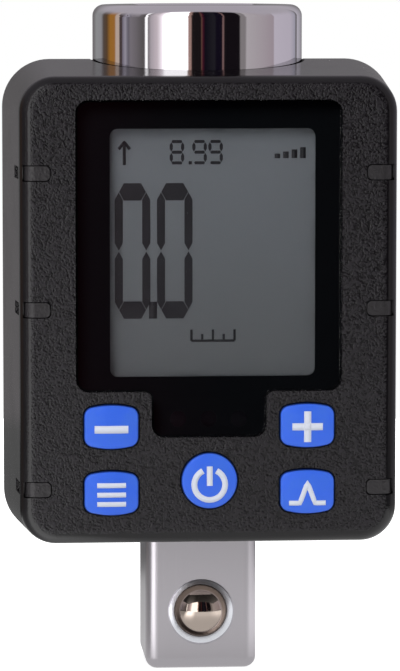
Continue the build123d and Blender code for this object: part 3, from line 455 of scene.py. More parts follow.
handling, given, made = new_effect("handling", [("Cloud Scale", 160.0), ("Strength", 1.0)], ["Smudge"])
clouds = noise(handling, given.outputs["Cloud Scale"], detail=4.0)
cloud = smooth_step(handling, clouds, cloud_start, cloud_end)
feed(handling, made.inputs["Smudge"], arithmetic(handling, "MULTIPLY", cloud, given.outputs["Strength"]))
print("shared effects:", [group.name for group in (grain, drawn, handling)])

# %% [markdown]
# Every finish starts from one Principled shader. The helpers here add to it: a shared effect, a bump,
# a roughness that wanders between two values where a mask says so, and a colour that does the same.

# %% Finish helpers
def finish(name, colour, roughness, metallic=0.0, specular=0.5):
    """A material with one Principled shader. Returns the material, its tree and the shader."""
    material, tree, output = new_material(name)
    shader = add_node(tree, "ShaderNodeBsdfPrincipled", {
        "Base Color": (*colour, 1.0), "Roughness": roughness, "Metallic": metallic,
        "Specular IOR Level": specular,
    })
    feed(tree, output.inputs["Surface"], shader)
    return material, tree, shader


def effect(tree, group, output, **values):
    """An output of a shared effect with its sliders set. An underscore in a name stands for a space."""
    sliders = {name.replace("_", " "): value for name, value in values.items()}
    return add_node(tree, "ShaderNodeGroup", sliders, node_tree=group).outputs[output]


def raise_bump(tree, shader, height, depth):
    """Let a height mask stand this many metres proud."""
    bump = add_node(tree, "ShaderNodeBump", {"Distance": depth, "Height": height})
    feed(tree, shader.inputs["Normal"], bump)


def wander(tree, shader, mask, low, high):
    """Roughness that runs from low to high with the mask."""
    span = add_node(tree, "ShaderNodeMapRange", {"Value": mask, "To Min": low, "To Max": high})
    feed(tree, shader.inputs["Roughness"], span)


def paint(tree, shader, mask, first, second):
    """Base colour that runs from the first colour to the second with the mask."""
    feed(tree, shader.inputs["Base Color"], mix_colours(tree, mask, first, second))


def object_axis(tree, kind, axis):
    """One axis of the object's coordinates or of its normal."""
    return split(tree, coordinates(tree, kind))[axis]


def facing_front(tree):
    """1 where the surface looks straight to the front or the back, 0 on the sides."""
    return arithmetic(tree, "ABSOLUTE", object_axis(tree, "Normal", "Y"))


# %% [markdown]
# The housing is black glass-filled plastic. Its face is spark-eroded, which scatters light in small
# glints, while the drafted sides left the mould nearly smooth. The normal of the surface tells face
# from side, so one material serves both and the grain fades over the rounded edge. At the top the
# grain starts earlier, because a smooth edge there would mirror the dark doorway as a black line.

# %% Housing plastic
face_start, face_end = 0.955, 0.997
rounding_starts, rounding_ends = (0.25, 0.50), (0.76, 0.90)
pit_start, pit_end = 0.36, 0.64
speckle_start, speckle_end = 0.44, 0.60
earlier_at_top = 0.19
side_relief, grain_depth = 0.10, 0.13 * mm
side_painted_shade = 0.08
side_rough, smudged = 0.11, 0.04
grain_rough, speckled = 0.08, 0.22
edge_rough = 0.26
pit_and_shade_black = (0.0026, 0.0020, 0.0030, 1.0)
grain_black = (0.0160, 0.0138, 0.0172, 1.0)

housing_plastic, tree, shader = finish("housing_plastic", (0.020, 0.0185, 0.021), 0.5, specular=0.38)
facing = facing_front(tree)
upwards = arithmetic(tree, "MAXIMUM", object_axis(tree, "Normal", "Z"), 0.0)
turned = arithmetic(tree, "MULTIPLY_ADD", upwards, earlier_at_top, facing)
on_face = smooth_step(tree, turned, face_start, face_end)
skin = effect(tree, grain, "Height", Grain_Scale=5000.0, Coarse_Share=0.20)
grain_share = arithmetic(tree, "MULTIPLY_ADD", on_face, 1.0 - side_relief, side_relief)
# The height is centred on zero before it fades out, or the fade would look like a step.
relief = arithmetic(tree, "SUBTRACT", skin, 0.5)
raise_bump(tree, shader, arithmetic(tree, "MULTIPLY", relief, grain_share), grain_depth)
# On the face the pit black and the grain black follow the grain. On the sides the colour stays near the
# pit black, a painted shade that darkens the smooth sides and their rounded edges.
pitted = arithmetic(tree, "SUBTRACT", smooth_step(tree, skin, pit_start, pit_end), side_painted_shade)
grain_and_side_shade = arithmetic(tree, "MULTIPLY_ADD", pitted, on_face, side_painted_shade)
paint(tree, shader, grain_and_side_shade, pit_and_shade_black, grain_black)
speckles = smooth_step(tree, skin, speckle_start, speckle_end)
speckle = arithmetic(tree, "MULTIPLY_ADD", speckles, speckled, grain_rough)
face_rough = arithmetic(tree, "MULTIPLY", on_face, speckle)
smudge = effect(tree, handling, "Smudge", Cloud_Scale=140.0)
even_rough = arithmetic(tree, "MULTIPLY_ADD", smudge, smudged, side_rough)
into_edge = smooth_step(tree, facing, *rounding_starts)
rounded = arithmetic(tree, "SUBTRACT", into_edge, smooth_step(tree, facing, *rounding_ends))
even_rough = arithmetic(tree, "MULTIPLY_ADD", rounded, edge_rough, even_rough)
feed(tree, shader.inputs["Roughness"], arithmetic(tree, "ADD", face_rough, even_rough))

frame_plastic, tree, shader = finish("frame_plastic", (0.022, 0.020, 0.022), 0.45)
skin = effect(tree, grain, "Height", Grain_Scale=3400.0, Coarse_Share=0.4)
raise_bump(tree, shader, skin, 0.10 * mm)
print("housing finishes:", housing_plastic.name, frame_plastic.name)

# %% [markdown]
# The keys are satin blue plastic. Light soaks in a little way and comes out again, so a small amount
# of subsurface scatter keeps their shaded edges blue instead of black. Their rounded rims are painted
# a deep navy where they meet the holes, a painted shade for the shadow in the gap around each key. The
# signs on them are printed in a slightly bluish white.

# %% Key and print finishes
rim_painted_shade = (0.004, 0.022, 0.14, 1.0)
rim_end, dome_start = 0.40, 0.86

key_blue, tree, shader = finish("key_blue", (0.042, 0.172, 0.94), 0.42)
shader.inputs["Subsurface Weight"].default_value = 0.12
shader.inputs["Subsurface Scale"].default_value = 0.4 * mm
shader.inputs["Subsurface Radius"].default_value = (0.3, 0.6, 1.0)
cloudy = effect(tree, handling, "Smudge", Cloud_Scale=420.0)
wander(tree, shader, cloudy, 0.38, 0.50)
dome_blue = mix_colours(tree, cloudy, (0.040, 0.168, 0.95, 1.0), (0.046, 0.180, 0.91, 1.0))
# The rims get a painted shade of navy, and the dome keeps its own blue.
on_dome = smooth_step(tree, facing_front(tree), rim_end, dome_start)
paint(tree, shader, on_dome, rim_painted_shade, dome_blue)
raise_bump(tree, shader, effect(tree, grain, "Height", Grain_Scale=6000.0), 0.02 * mm)


def printed(name, colour, scale, low, high, specular=0.5):
    """A print or a sheet: a plain colour whose shine follows a fine grain."""
    material, tree, shader = finish(name, colour, (low + high) / 2, specular=specular)
    wander(tree, shader, effect(tree, grain, "Height", Grain_Scale=scale), low, high)
    return material, tree, shader


sign_white, _, _ = printed("sign_white", (0.84, 0.88, 1.0), 5200.0, 0.38, 0.55)
print("key finishes:", key_blue.name, sign_white.name)

# %% [markdown]
# The window is clear acrylic over a printed black border. Real light passes through it without a
# dark shadow, but a path tracer would block the lamps, so rays towards the lamps find a plain
# transparent shader in its place.

# %% Window finishes
acrylic_tint = (0.93, 0.94, 0.95, 1.0)
lens_acrylic, tree, output = new_material("lens_acrylic")
acrylic = add_node(tree, "ShaderNodeBsdfPrincipled", {
    "Base Color": acrylic_tint, "Roughness": 0.015, "IOR": 1.49, "Transmission Weight": 1.0,
})
open_way = add_node(tree, "ShaderNodeBsdfTransparent", {"Color": acrylic_tint})
lamp_ray = kind_of_ray(tree, "Is Shadow Ray")
either = add_node(tree, "ShaderNodeMixShader", {0: lamp_ray, 1: acrylic, 2: open_way})
feed(tree, output.inputs["Surface"], either)

mask_print, _, _ = printed("mask_print", (0.0105, 0.0116, 0.0134), 2600.0, 0.30, 0.45, specular=0.2)
print("window finishes:", lens_acrylic.name, mask_print.name)

# %% [markdown]
# A reflective display has no light of its own: its rear sheet returns a flat grey, painted a little
# darker towards the bottom as a painted shade. The lit segments are dark, because there the liquid
# crystal stops the light.

# %% Display finishes
painted_shade_grey, painted_light_grey = (0.118, 0.122, 0.127, 1.0), (0.160, 0.170, 0.181, 1.0)
glass_low, glass_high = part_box("lcd_front_glass")
lcd_glass, tree, shader = printed("lcd_glass", (0.11, 0.115, 0.125), 7000.0, 0.28, 0.36, specular=0.25)
# Painted shade: the grey of the glass is darker towards its bottom.
height_share = smooth_step(tree, object_axis(tree, "Object", "Z"), glass_low.z, glass_high.z)
paint(tree, shader, height_share, painted_shade_grey, painted_light_grey)
segment_ink, _, _ = printed("segment_ink", (0.022, 0.021, 0.024), 5200.0, 0.35, 0.50, specular=0.2)
print("display finishes:", lcd_glass.name, segment_ink.name)

# %% [markdown]
# The spindle is one steel piece with two finishes. Its head is polished chrome and the square below
# the housing is satin, so the height above the tip mixes one roughness into the other. The satin
# part also shows fine upright grinding lines. The cone cut around the ball is painted near white for
# the camera, a painted highlight. Ball and cone mirror each other, so shiny rays find them in another
# colour, a painted reflection: the ball is pale there, which keeps the cone bright, and the cone is
# dark, which keeps the ball's rim dark.

# %% Metals
polish_rise = 4 * mm
cone_radius = 3.64 * mm
satin_steel, polished_chrome = (0.50, 0.478, 0.508, 1.0), (0.70, 0.68, 0.71, 1.0)
cone_painted_highlight, cone_painted_dark_reflection = (0.96, 0.97, 1.0, 1.0), (0.30, 0.27, 0.26, 1.0)
ball_painted_reflection = (0.96, 0.97, 1.0)

cover_low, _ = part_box("front_cover")
ball_low, ball_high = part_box("detent_ball")
drive_chrome, tree, shader = finish("drive_chrome", (0.62, 0.60, 0.63), 0.08, metallic=1.0)
across, depthwise, height = split(tree, coordinates(tree, "Object"))
polished = smooth_step(tree, height, cover_low.z, cover_low.z + polish_rise)
satin = arithmetic(tree, "SUBTRACT", 1.0, polished)
lines = effect(tree, drawn, "Height", Line_Scale=2600.0)
raise_bump(tree, shader, arithmetic(tree, "MULTIPLY", lines, satin), 0.012 * mm)
wander(tree, shader, polished, 0.30, 0.045)
steel = mix_colours(tree, polished, satin_steel, polished_chrome)
upward = arithmetic(tree, "SUBTRACT", height, (ball_low.z + ball_high.z) / 2)
from_ball = arithmetic(tree, "SQRT", arithmetic(
    tree, "MULTIPLY_ADD", across, across, arithmetic(tree, "MULTIPLY", upward, upward)
))
in_front = arithmetic(tree, "LESS_THAN", depthwise, 0.0)
near_ball = arithmetic(tree, "MULTIPLY", in_front, arithmetic(tree, "LESS_THAN", from_ball, cone_radius))
# The cone is painted near white for the camera, a painted highlight, and dark for shiny rays, a painted
# reflection.
cone_painted_light = mix_colours(tree, kind_of_ray(tree, "Is Camera Ray"), cone_painted_dark_reflection, cone_painted_highlight)
paint(tree, shader, near_ball, steel, cone_painted_light)


def metal(name, colour, low, high, scale, depth, mirrored=None):
    """A metal with drawn lines and handling marks. Shiny rays can be given a colour of their own, a
    painted reflection.
    """
    material, tree, shader = finish(name, colour, low, metallic=1.0)
    raise_bump(tree, shader, effect(tree, drawn, "Height", Line_Scale=scale), depth)
    wander(tree, shader, effect(tree, handling, "Smudge", Cloud_Scale=300.0), low, high)
    if mirrored is not None:
        paint(tree, shader, kind_of_ray(tree, "Is Camera Ray"), (*mirrored, 1.0), (*colour, 1.0))
    return material


# For shiny rays the ball is painted pale, a painted reflection that keeps the cone bright.
ball_steel = metal("ball_steel", (0.52, 0.44, 0.385), 0.06, 0.16, 1400.0, 0.002 * mm, ball_painted_reflection)
screw_steel = metal("screw_steel", (0.42, 0.42, 0.44), 0.24, 0.40, 2400.0, 0.010 * mm)
spring_steel = metal("spring_steel", (0.46, 0.46, 0.48), 0.20, 0.34, 3200.0, 0.006 * mm)
contact_nickel = metal("contact_nickel", (0.66, 0.63, 0.56), 0.18, 0.32, 2600.0, 0.006 * mm)
print("metals:", [m.name for m in (drive_chrome, ball_steel, screw_steel, spring_steel, contact_nickel)])

# %% [markdown]
# The inner pieces are moulded or laminated, and differ in colour, shine and grain only. One function
# makes them all: the grain lifts the surface a little and shifts its colour a little.

# %% Inner plastics
def moulded(name, colour, roughness, scale, depth, shift=0.15):
    """A moulded or laminated material whose grain moves its colour and its surface."""
    material, tree, shader = finish(name, colour, roughness)
    skin = add_node(tree, "ShaderNodeGroup", {"Grain Scale": scale}, node_tree=grain)
    darker = tuple(channel * (1.0 - shift) for channel in colour)
    lighter = tuple(min(1.0, channel * (1.0 + shift)) for channel in colour)
    paint(tree, shader, skin.outputs["Height"], (*darker, 1.0), (*lighter, 1.0))
    raise_bump(tree, shader, skin.outputs["Height"], depth)
    wander(tree, shader, skin.outputs["Sparkle"], roughness, roughness * 0.8)
    return material


plain = {
    # colour, roughness, grain scale, grain depth
    "backlight_acrylic": ((0.55, 0.58, 0.56), 0.30, 2600.0, 0.010 * mm),
    "white_plastic": ((0.72, 0.72, 0.69), 0.50, 3000.0, 0.020 * mm),
    "connector_rubber": ((0.20, 0.10, 0.10), 0.70, 3200.0, 0.020 * mm),
    "board_laminate": ((0.012, 0.11, 0.045), 0.35, 1500.0, 0.010 * mm),
    "switch_plastic": ((0.020, 0.020, 0.022), 0.50, 3600.0, 0.020 * mm),
    "web_silicone": ((0.17, 0.18, 0.19), 0.65, 2400.0, 0.020 * mm),
    "lamp_resin": ((0.70, 0.68, 0.58), 0.20, 2000.0, 0.004 * mm),
    "gauge_foil": ((0.48, 0.23, 0.04), 0.28, 2600.0, 0.004 * mm),
    "bush_plastic": ((0.72, 0.71, 0.66), 0.40, 1800.0, 0.008 * mm),
    "plunger_plastic": ((0.65, 0.65, 0.62), 0.45, 3000.0, 0.010 * mm),
}
finishes = {name: moulded(name, *values) for name, values in plain.items()}
finishes.update(
    housing_plastic=housing_plastic, frame_plastic=frame_plastic, key_blue=key_blue,
    lens_acrylic=lens_acrylic, mask_print=mask_print, lcd_glass=lcd_glass, drive_chrome=drive_chrome,
    ball_steel=ball_steel, screw_steel=screw_steel, spring_steel=spring_steel,
    contact_nickel=contact_nickel,
)
print("inner plastics:", len(plain))

# %% [markdown]
# The two leads are one object, and so are the two cells, so their colours follow the side that they
# lie on: a red lead to the right and a black one to the left. The cells lie head to tail, so the dark
# end of each jacket is on top at the right and below at the left, with bare metal at both ends.

# %% Leads and cells
lead_black, lead_red = (0.012, 0.012, 0.013, 1.0), (0.50, 0.020, 0.018, 1.0)
jacket_teal, jacket_dark = (0.03, 0.16, 0.22, 1.0), (0.012, 0.014, 0.018, 1.0)
bare_metal = (0.55, 0.55, 0.56, 1.0)
dark_length, bare_length = 11 * mm, 1.3 * mm

lead_pvc, tree, shader = finish("lead_pvc", (0.5, 0.02, 0.02), 0.35)
right_side = smooth_step(tree, object_axis(tree, "Object", "X"), -mm, mm)
paint(tree, shader, right_side, lead_black, lead_red)
wander(tree, shader, effect(tree, handling, "Smudge", Cloud_Scale=900.0), 0.30, 0.45)
finishes["lead_pvc"] = lead_pvc

cell_low, cell_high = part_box("battery_cells")
half_length = (cell_high.z - cell_low.z) / 2
cell_jacket, tree, shader = finish("cell_jacket", (0.03, 0.16, 0.22), 0.26, metallic=0.4)
wander(tree, shader, effect(tree, handling, "Smudge", Cloud_Scale=260.0), 0.22, 0.36)
raise_bump(tree, shader, effect(tree, grain, "Height", Grain_Scale=1800.0), 0.006 * mm)
across, _, height = split(tree, coordinates(tree, "Object"))
from_middle = arithmetic(tree, "SUBTRACT", height, (cell_low.z + cell_high.z) / 2)
towards_plus = arithmetic(tree, "MULTIPLY", from_middle, arithmetic(tree, "SIGN", across))
dark_end = arithmetic(tree, "GREATER_THAN", towards_plus, half_length - dark_length)
jacket = mix_colours(tree, dark_end, jacket_teal, jacket_dark)
from_ends = arithmetic(tree, "ABSOLUTE", from_middle)
bare_end = arithmetic(tree, "GREATER_THAN", from_ends, half_length - bare_length)
paint(tree, shader, bare_end, jacket, bare_metal)
finishes["cell_jacket"] = cell_jacket

slots = {row["node"]: row["material_slot"] for row in frame["record"]["subparts"]}
for node_name, solid in nodes.items():
    solid.data.materials.clear()
    solid.data.materials.append(finishes[slots[node_name]])
print("finished solids:", len(slots))

# %% [markdown]
# What repeats or follows a rule is made with Geometry Nodes. A tree that makes a piece takes its sizes
# as named inputs and ends in plain geometry with its material. The result is kept as a plain mesh, so
# that nothing has to be worked out again when the part is moved or exported.

# %% Geometry node helpers
def new_tree(name, sockets):
    """A Geometry Nodes tree with named inputs (name, kind). Returns the tree and its two end nodes."""
    tree = bpy.data.node_groups.new(name, "GeometryNodeTree")
    for label, kind in sockets:
        tree.interface.new_socket(label, in_out="INPUT", socket_type=f"NodeSocket{kind}")
    tree.interface.new_socket("Geometry", in_out="OUTPUT", socket_type="NodeSocketGeometry")
    return tree, add_node(tree, "NodeGroupInput").outputs, add_node(tree, "NodeGroupOutput")


def end_tree(tree, made, geometry, material):
    """The end of every tree that makes a piece: plain geometry with its material."""
    plain_mesh = add_node(tree, "GeometryNodeRealizeInstances", {0: geometry})
    painted = add_node(tree, "GeometryNodeSetMaterial", {"Geometry": plain_mesh, "Material": material})
    feed(tree, made.inputs["Geometry"], painted)


def grow(tree, name, points=(), edges=(), **sizes):
    """Run a tree on a small mesh of points and edges, and keep the result as a plain mesh."""
    seed_mesh = bpy.data.meshes.new(name)
    seed_mesh.from_pydata(points, edges, [])
    piece = bpy.data.objects.new(name, seed_mesh)
    bpy.context.scene.collection.objects.link(piece)
    modifier = piece.modifiers.new(tree.name, "NODES")
    modifier.node_group = tree
    for item in tree.interface.items_tree:
        key = item.name.replace(" ", "_").lower()
        if item.in_out == "INPUT" and key in sizes:
            modifier[item.identifier] = sizes[key]
    graph = bpy.context.evaluated_depsgraph_get()
    result = bpy.data.meshes.new_from_object(piece.evaluated_get(graph))
    piece.modifiers.remove(modifier)
    piece.data = result
    result.name = name
    return piece


# %% [markdown]
# Three lamps stand behind the tab of the window. Their openings in the black print are closed by
# smoked dots, nearly as black as the print, so a lamp shows only when it is lit. The dots are one disc
# repeated along a line, which is the plainest use of instances.

# %% Smoked dots over the lamps
lamp_count = 3
dot_corners = 48
dot_play = 0.005 * mm
dot_thickness_share = 0.8

dot_row, given, made = new_tree("dot_row", [
    ("Points", "Geometry"), ("Count", "Int"), ("Pitch", "Float"), ("Dot Radius", "Float"),
    ("Depth", "Float"), ("First", "Vector"), ("Material", "Material"),
])
dot = add_node(dot_row, "GeometryNodeMeshCylinder", {
    "Vertices": dot_corners, "Radius": given["Dot Radius"], "Depth": given["Depth"],
}, fill_type="NGON")
spots = add_node(dot_row, "GeometryNodeMeshLine", {
    "Count": given["Count"], "Start Location": given["First"],
    "Offset": combine(dot_row, x=given["Pitch"]),
}, mode="OFFSET")
dots = add_node(dot_row, "GeometryNodeInstanceOnPoints", {
    "Points": spots, "Instance": dot, "Rotation": (math.pi / 2, 0.0, 0.0),
})
end_tree(dot_row, made, dots, given["Material"])

smoked_print, _, _ = printed("smoked_print", (0.0022, 0.0022, 0.0028), 2600.0, 0.26, 0.38, specular=0.05)
mask_low, mask_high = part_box("display_mask")
lamp_low, lamp_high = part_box("indicator_lamps")
lamp_size = lamp_high.z - lamp_low.z
lamp_pitch = (lamp_high.x - lamp_low.x - lamp_size) / (lamp_count - 1)
first_dot = Vector((-lamp_pitch, (mask_low.y + mask_high.y) / 2, (lamp_low.z + lamp_high.z) / 2))
lamp_dots = grow(
    dot_row, "lamp_dots", count=lamp_count, pitch=lamp_pitch, dot_radius=lamp_size / 2 - dot_play,
    depth=dot_thickness_share * (mask_high.y - mask_low.y), first=first_dot, material=smoked_print,
)
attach(lamp_dots, "housing")
print("lamp dots:", lamp_count, "pitch in mm:", round(lamp_pitch / mm, 2))

# %% [markdown]
# The signs on the keys and on the display are printed strokes. Every one is a thin strip that follows
# a line, so a single Geometry Nodes tree makes them all: it takes centre lines drawn flat, sweeps a
# rectangle along them, and bends the result onto the crown of the key. The drop of a dome of radius R
# at a distance r is r squared over R plus the root of R squared less r squared, which stays exact even
# for the flat display, where R is very large.

# %% Printed strokes
line_cuts = 5

strokes, given, made = new_tree("printed_strokes", [
    ("Lines", "Geometry"), ("Width", "Float"), ("Thickness", "Float"), ("Centre", "Vector"),
    ("Dome Radius", "Float"), ("Material", "Material"),
])
curve = add_node(strokes, "GeometryNodeMeshToCurve", {"Mesh": given["Lines"]})
finer = add_node(strokes, "GeometryNodeSubdivideCurve", {"Curve": curve, "Cuts": line_cuts})
upright = add_node(strokes, "GeometryNodeSetCurveNormal", {"Curve": finer}, mode="Z_UP")
nib = add_node(strokes, "GeometryNodeCurvePrimitiveQuadrilateral", {
    "Width": given["Width"], "Height": arithmetic(strokes, "MULTIPLY", given["Thickness"], 2.0),
})
strip = add_node(strokes, "GeometryNodeCurveToMesh", {
    "Curve": upright, "Profile Curve": nib, "Fill Caps": True,
})
drawn_x, drawn_y, drawn_z = split(strokes, add_node(strokes, "GeometryNodeInputPosition"))
distance_squared = arithmetic(
    strokes, "MULTIPLY_ADD", drawn_y, drawn_y, arithmetic(strokes, "MULTIPLY", drawn_x, drawn_x)
)
radius = given["Dome Radius"]
radius_squared = arithmetic(strokes, "MULTIPLY", radius, radius)
slant = arithmetic(strokes, "SQRT", arithmetic(strokes, "SUBTRACT", radius_squared, distance_squared))
sag = arithmetic(strokes, "DIVIDE", distance_squared, arithmetic(strokes, "ADD", radius, slant))
onto = combine(strokes, drawn_x, arithmetic(strokes, "SUBTRACT", sag, drawn_z), drawn_y)
laid = add_node(strokes, "GeometryNodeSetPosition", {
    "Geometry": strip, "Position": vector_math(strokes, "ADD", onto, given["Centre"]),
})
end_tree(strokes, made, laid, given["Material"])
print("stroke nodes:", len(strokes.nodes))


def polylines(*lines):
    """Points and edges of centre lines given in millimetres, drawn in X and Y."""
    points = [(x * mm, y * mm, 0.0) for line in lines for x, y in line]
    edges = []
    start = 0
    for line in lines:
        edges += [(start + step, start + step + 1) for step in range(len(line) - 1)]
        start += len(line)
    return points, edges


def arc(radius, start, end, steps=24, centre=(0.0, 0.0)):
    """Points on an arc in millimetres, its angles in degrees from straight up and clockwise."""
    angles = [math.radians(start + (end - start) * step / steps) for step in range(steps + 1)]
    return [(centre[0] + radius * math.sin(a), centre[1] + radius * math.cos(a)) for a in angles]


def bar(x0, y0, x1, y1):
    """A straight centre line."""
    return [(x0, y0), (x1, y1)]


# %% [markdown]
# The plus, the minus and the power sign keep the sizes that they have on the real keys. The two lower
# keys get plain generic signs: three stacked bars for the menu, and a peak over a base line for the
# tracking mode.

# %% Signs on the keys
dome_radius = 15.0 * mm
print_thickness = 0.02 * mm
key_signs = {
    # key: (line width in mm, centre lines)
    "minus": (0.85, [bar(-1.87, -0.24, 1.87, -0.24)]),
    "plus": (0.80, [bar(-1.70, -0.10, 1.70, -0.10), bar(0.0, -1.82, 0.0, 1.62)]),
    "mode": (0.55, [bar(-1.60, y, 1.60, y) for y in (0.92, -0.13, -1.18)]),
    "track": (0.55, [[(-2.05, -1.25), (-0.85, -1.25), (0.0, 1.05), (0.85, -1.25), (2.05, -1.25)]]),
    "power": (0.66, [arc(1.72, 26, 334, centre=(0.0, -0.38)), bar(0.0, -0.50, 0.0, 1.66)]),
}
for key_name, (line_width, lines) in key_signs.items():
    low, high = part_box(f"{key_name}_key")
    crown = Vector(((low.x + high.x) / 2, low.y, (low.z + high.z) / 2))
    points, edges = polylines(*lines)
    sign = grow(
        strokes, f"{key_name}_sign", points, edges, width=line_width * mm, thickness=print_thickness,
        centre=crown, dome_radius=dome_radius, material=sign_white,
    )
    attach(sign, key_name)
    print(key_name, "sign faces:", len(sign.data.polygons))

# %% [markdown]
# A seven-segment digit is the same hexagonal bar seven times, and a number says which bars are lit.
# The tree below builds the bar once as a group of its own. It starts from a circle with six corners:
# corners 0 and 3 are the tips, and the other four move out to the sides of the bar.

# %% Segment bar
weld_distance = 0.001 * mm

segment_bar, given, made = new_tree("segment_bar", [
    ("Length", "Float"), ("Breadth", "Float"), ("Tip Share", "Float"), ("Depth", "Float"),
])
hexagon = add_node(segment_bar, "GeometryNodeMeshCircle", {"Vertices": 6}, fill_type="NGON")
corner_x, corner_y, _ = split(segment_bar, add_node(segment_bar, "GeometryNodeInputPosition"))
corner = add_node(segment_bar, "GeometryNodeInputIndex")
is_side = arithmetic(segment_bar, "GREATER_THAN", arithmetic(segment_bar, "MODULO", corner, 3.0), 0.5)
half_length = arithmetic(segment_bar, "MULTIPLY", given["Length"], 0.5)
half_breadth = arithmetic(segment_bar, "MULTIPLY", given["Breadth"], 0.5)
spread = arithmetic(segment_bar, "MULTIPLY", is_side, half_breadth)
tip = arithmetic(segment_bar, "MULTIPLY", given["Breadth"], given["Tip Share"])
cut_back = arithmetic(segment_bar, "MULTIPLY", is_side, tip)
reach = arithmetic(segment_bar, "SUBTRACT", half_length, cut_back)
placed = combine(
    segment_bar,
    arithmetic(segment_bar, "MULTIPLY", arithmetic(segment_bar, "SIGN", corner_x), reach),
    arithmetic(segment_bar, "MULTIPLY", arithmetic(segment_bar, "SIGN", corner_y), spread),
)
shaped = add_node(segment_bar, "GeometryNodeSetPosition", {"Geometry": hexagon, "Position": placed})
thick = add_node(segment_bar, "GeometryNodeExtrudeMesh", {
    "Mesh": shaped, "Offset Scale": given["Depth"], "Individual": False,
})
underside = add_node(segment_bar, "GeometryNodeFlipFaces", {"Mesh": shaped})
closed = add_node(segment_bar, "GeometryNodeJoinGeometry")
for shell in (thick, underside):
    feed(segment_bar, closed.inputs[0], shell)
welded = add_node(segment_bar, "GeometryNodeMergeByDistance", {
    "Geometry": closed, "Distance": weld_distance,
})
feed(segment_bar, made.inputs["Geometry"], welded)
print("segment bar nodes:", len(segment_bar.nodes))

# %% [markdown]
# The digit places the bar seven times, around its two halves. A Switch node drops the bars whose bit
# is not set in the number, so one tree draws every digit. The tips of the bars are cut steeper on the
# uprights than on the crossbars, as on the real display.

# %% Seven-segment digit
bar_gap = 0.06 * mm
crossbar_tip, upright_tip = 0.28, 0.90
segments = (
    # bit, side of the column, side of the row, lies across
    (0, 0, 1, True), (1, 1, 1, False), (2, 1, -1, False), (3, 0, -1, True),
    (4, -1, -1, False), (5, -1, 1, False), (6, 0, 0, True),
)

digit, given, made = new_tree("seven_segment", [
    ("Points", "Geometry"), ("Lit", "Int"), ("Centre", "Vector"), ("Digit Width", "Float"),
    ("Digit Height", "Float"), ("Crossbar", "Float"), ("Upright", "Float"), ("Depth", "Float"),
    ("Material", "Material"),
])
half_width = arithmetic(digit, "MULTIPLY", given["Digit Width"], 0.5)
half_height = arithmetic(digit, "MULTIPLY", given["Digit Height"], 0.5)
column_x = arithmetic(digit, "MULTIPLY_ADD", given["Upright"], -0.5, half_width)
row_y = arithmetic(digit, "MULTIPLY_ADD", given["Crossbar"], -0.5, half_height)
upright_y = arithmetic(digit, "MULTIPLY", row_y, 0.5)
upright_length = arithmetic(digit, "SUBTRACT", row_y, 2.0 * bar_gap)
cross_length = arithmetic(digit, "MULTIPLY_ADD", column_x, 2.0, -bar_gap)
all_bars = add_node(digit, "GeometryNodeJoinGeometry")
for bit, side, row, lies_across in segments:
    one = add_node(digit, "GeometryNodeGroup", {
        "Length": cross_length if lies_across else upright_length,
        "Breadth": given["Crossbar" if lies_across else "Upright"],
        "Tip Share": crossbar_tip if lies_across else upright_tip,
        "Depth": given["Depth"],
    }, node_tree=segment_bar)
    spot = combine(
        digit,
        arithmetic(digit, "MULTIPLY", column_x, float(side)),
        arithmetic(digit, "MULTIPLY", row_y if lies_across else upright_y, float(row)),
    )
    move = add_node(digit, "GeometryNodeTransform", {
        "Geometry": one, "Translation": spot,
        "Rotation": (0.0, 0.0, 0.0 if lies_across else math.pi / 2),
    })
    shifted = arithmetic(digit, "DIVIDE", given["Lit"], float(2 ** bit))
    is_lit = arithmetic(digit, "MODULO", arithmetic(digit, "FLOOR", shifted), 2.0)
    chosen = add_node(digit, "GeometryNodeSwitch", {
        "Switch": arithmetic(digit, "GREATER_THAN", is_lit, 0.5), "True": move,
    }, input_type="GEOMETRY")
    feed(digit, all_bars.inputs[0], chosen)
stand = add_node(digit, "GeometryNodeTransform", {
    "Geometry": all_bars, "Translation": given["Centre"], "Rotation": (math.pi / 2, 0.0, 0.0),
})
end_tree(digit, made, stand, given["Material"])
print("digit nodes:", len(digit.nodes))

# %% [markdown]
# The display shows a large 0.0 and, above it, a small number in thin strokes. Places on it are given
# from the middle of the window. Small generic marks complete it: a pointer, a level sign and a short
# scale.

# %% Numbers on the display
ink_gap = 0.005 * mm
ink_depth = 0.04 * mm
view_middle = Vector((0.45 * mm, glass_low.y - ink_gap, 48.8 * mm))
flat_radius = 1000.0
lit_bars = {0: 0b0111111, 8: 0b1111111, 9: 0b1101111}
numbers = {
    # name: (height on the display in mm, each digit with its place across, sizes of a digit in mm)
    "large": (0.16, [(0, -8.84), (0, -4.15)], (3.95, 15.06, 1.92, 0.90)),
    "small": (11.1, [(8, -3.90), (9, -1.39), (9, 0.39)], (1.62, 2.70, 0.34, 0.36)),
}
display_marks = {
    # name: (line width in mm, place, centre lines)
    "large_point": (0.89, (-6.57, -6.43), [bar(0.0, -0.94, 0.0, 0.94)]),
    "small_point": (0.36, (-2.42, 9.93), [bar(0.0, -0.18, 0.0, 0.18)]),
    "pointer_mark": (0.34, (-9.74, 11.0), [
        bar(0.0, -1.3, 0.0, 1.3), [(-0.62, 0.45), (0.0, 1.25), (0.62, 0.45)],
    ]),
    "level_mark": (0.62, (8.66, 10.9), [
        bar(x, -0.5, x, 0.25 * x + 0.35) for x in (-1.4, -0.45, 0.5, 1.45)
    ]),
    "scale_mark": (0.26, (0.10, -9.28), [bar(-2.4, -0.6, 2.4, -0.6)] + [
        bar(1.2 * step, -0.6, 1.2 * step, 0.65 if step % 2 == 0 else 0.15) for step in range(-2, 3)
    ]),
}


def on_display(x, z):
    """A place on the display, in millimetres from the middle of the window."""
    return view_middle + Vector((x * mm, 0.0, z * mm))


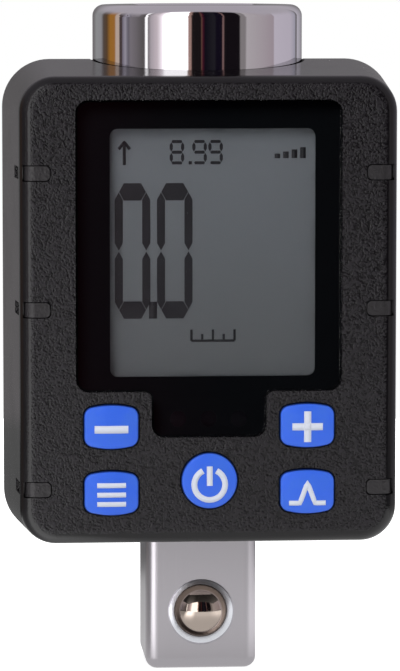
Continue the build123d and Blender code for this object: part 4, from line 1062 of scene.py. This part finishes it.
display_pieces = []
for name, (z, digits, digit_sizes) in numbers.items():
    width, height, crossbar, upright = (size * mm for size in digit_sizes)
    for order, (value, x) in enumerate(digits):
        display_pieces.append(grow(
            digit, f"{name}_digit_{order}", lit=lit_bars[value], centre=on_display(x, z),
            digit_width=width, digit_height=height, crossbar=crossbar, upright=upright,
            depth=ink_depth, material=segment_ink,
        ))
for name, (line_width, place, lines) in display_marks.items():
    points, edges = polylines(*lines)
    display_pieces.append(grow(
        strokes, name, points, edges, width=line_width * mm, thickness=ink_depth,
        centre=on_display(*place), dome_radius=flat_radius, material=segment_ink,
    ))
for piece in display_pieces:
    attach(piece, "housing")
print("display pieces:", len(display_pieces))

# %% [markdown]
# The spring behind the ball has to give way when the ball is pressed in. The solid spring can't, so
# a coil of the same size takes its place: a spiral swept with a round wire, laid along the hole.

# %% Detent spring
wire_radius = 0.25 * mm
spring_turns = 4.5
spiral_steps, wire_sides = 40, 16

coil, given, made = new_tree("coil_spring", [
    ("Points", "Geometry"), ("Coil Radius", "Float"), ("Wire Radius", "Float"), ("Length", "Float"),
    ("Turns", "Float"), ("Start", "Vector"), ("Material", "Material"),
])
spiral = add_node(coil, "GeometryNodeCurveSpiral", {
    "Resolution": spiral_steps, "Rotations": given["Turns"], "Start Radius": given["Coil Radius"],
    "End Radius": given["Coil Radius"], "Height": given["Length"],
})
wire = add_node(coil, "GeometryNodeCurvePrimitiveCircle", {
    "Resolution": wire_sides, "Radius": given["Wire Radius"],
})
swept = add_node(coil, "GeometryNodeCurveToMesh", {
    "Curve": spiral, "Profile Curve": wire, "Fill Caps": True,
})
laid = add_node(coil, "GeometryNodeTransform", {
    "Geometry": swept, "Rotation": (-math.pi / 2, 0.0, 0.0), "Translation": given["Start"],
})
end_tree(coil, made, laid, given["Material"])

spring_low, spring_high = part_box("detent_spring")
spring_length = spring_high.y - spring_low.y
spring_axis = (spring_low + spring_high) / 2
spring = grow(
    coil, "coiled_spring", coil_radius=(spring_high.x - spring_low.x) / 2 - wire_radius,
    wire_radius=wire_radius, length=spring_length - 2 * wire_radius, turns=spring_turns,
    start=(spring_axis.x, spring_low.y + wire_radius, spring_axis.z), material=spring_steel,
)
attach(spring, "housing")
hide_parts("detent_spring")
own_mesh(spring)
print("spring length in mm:", round(spring_length / mm, 2), "vertices:", len(spring.data.vertices))

# %% [markdown]
# The signs on the keys stand proud by less than the thickness of their print, and nothing else added
# here reaches past the solids. The box of the scene as it is now is printed.

# %% Size and finish
low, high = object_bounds()
print("box in mm:", [round(size / mm, 2) for size in high - low])
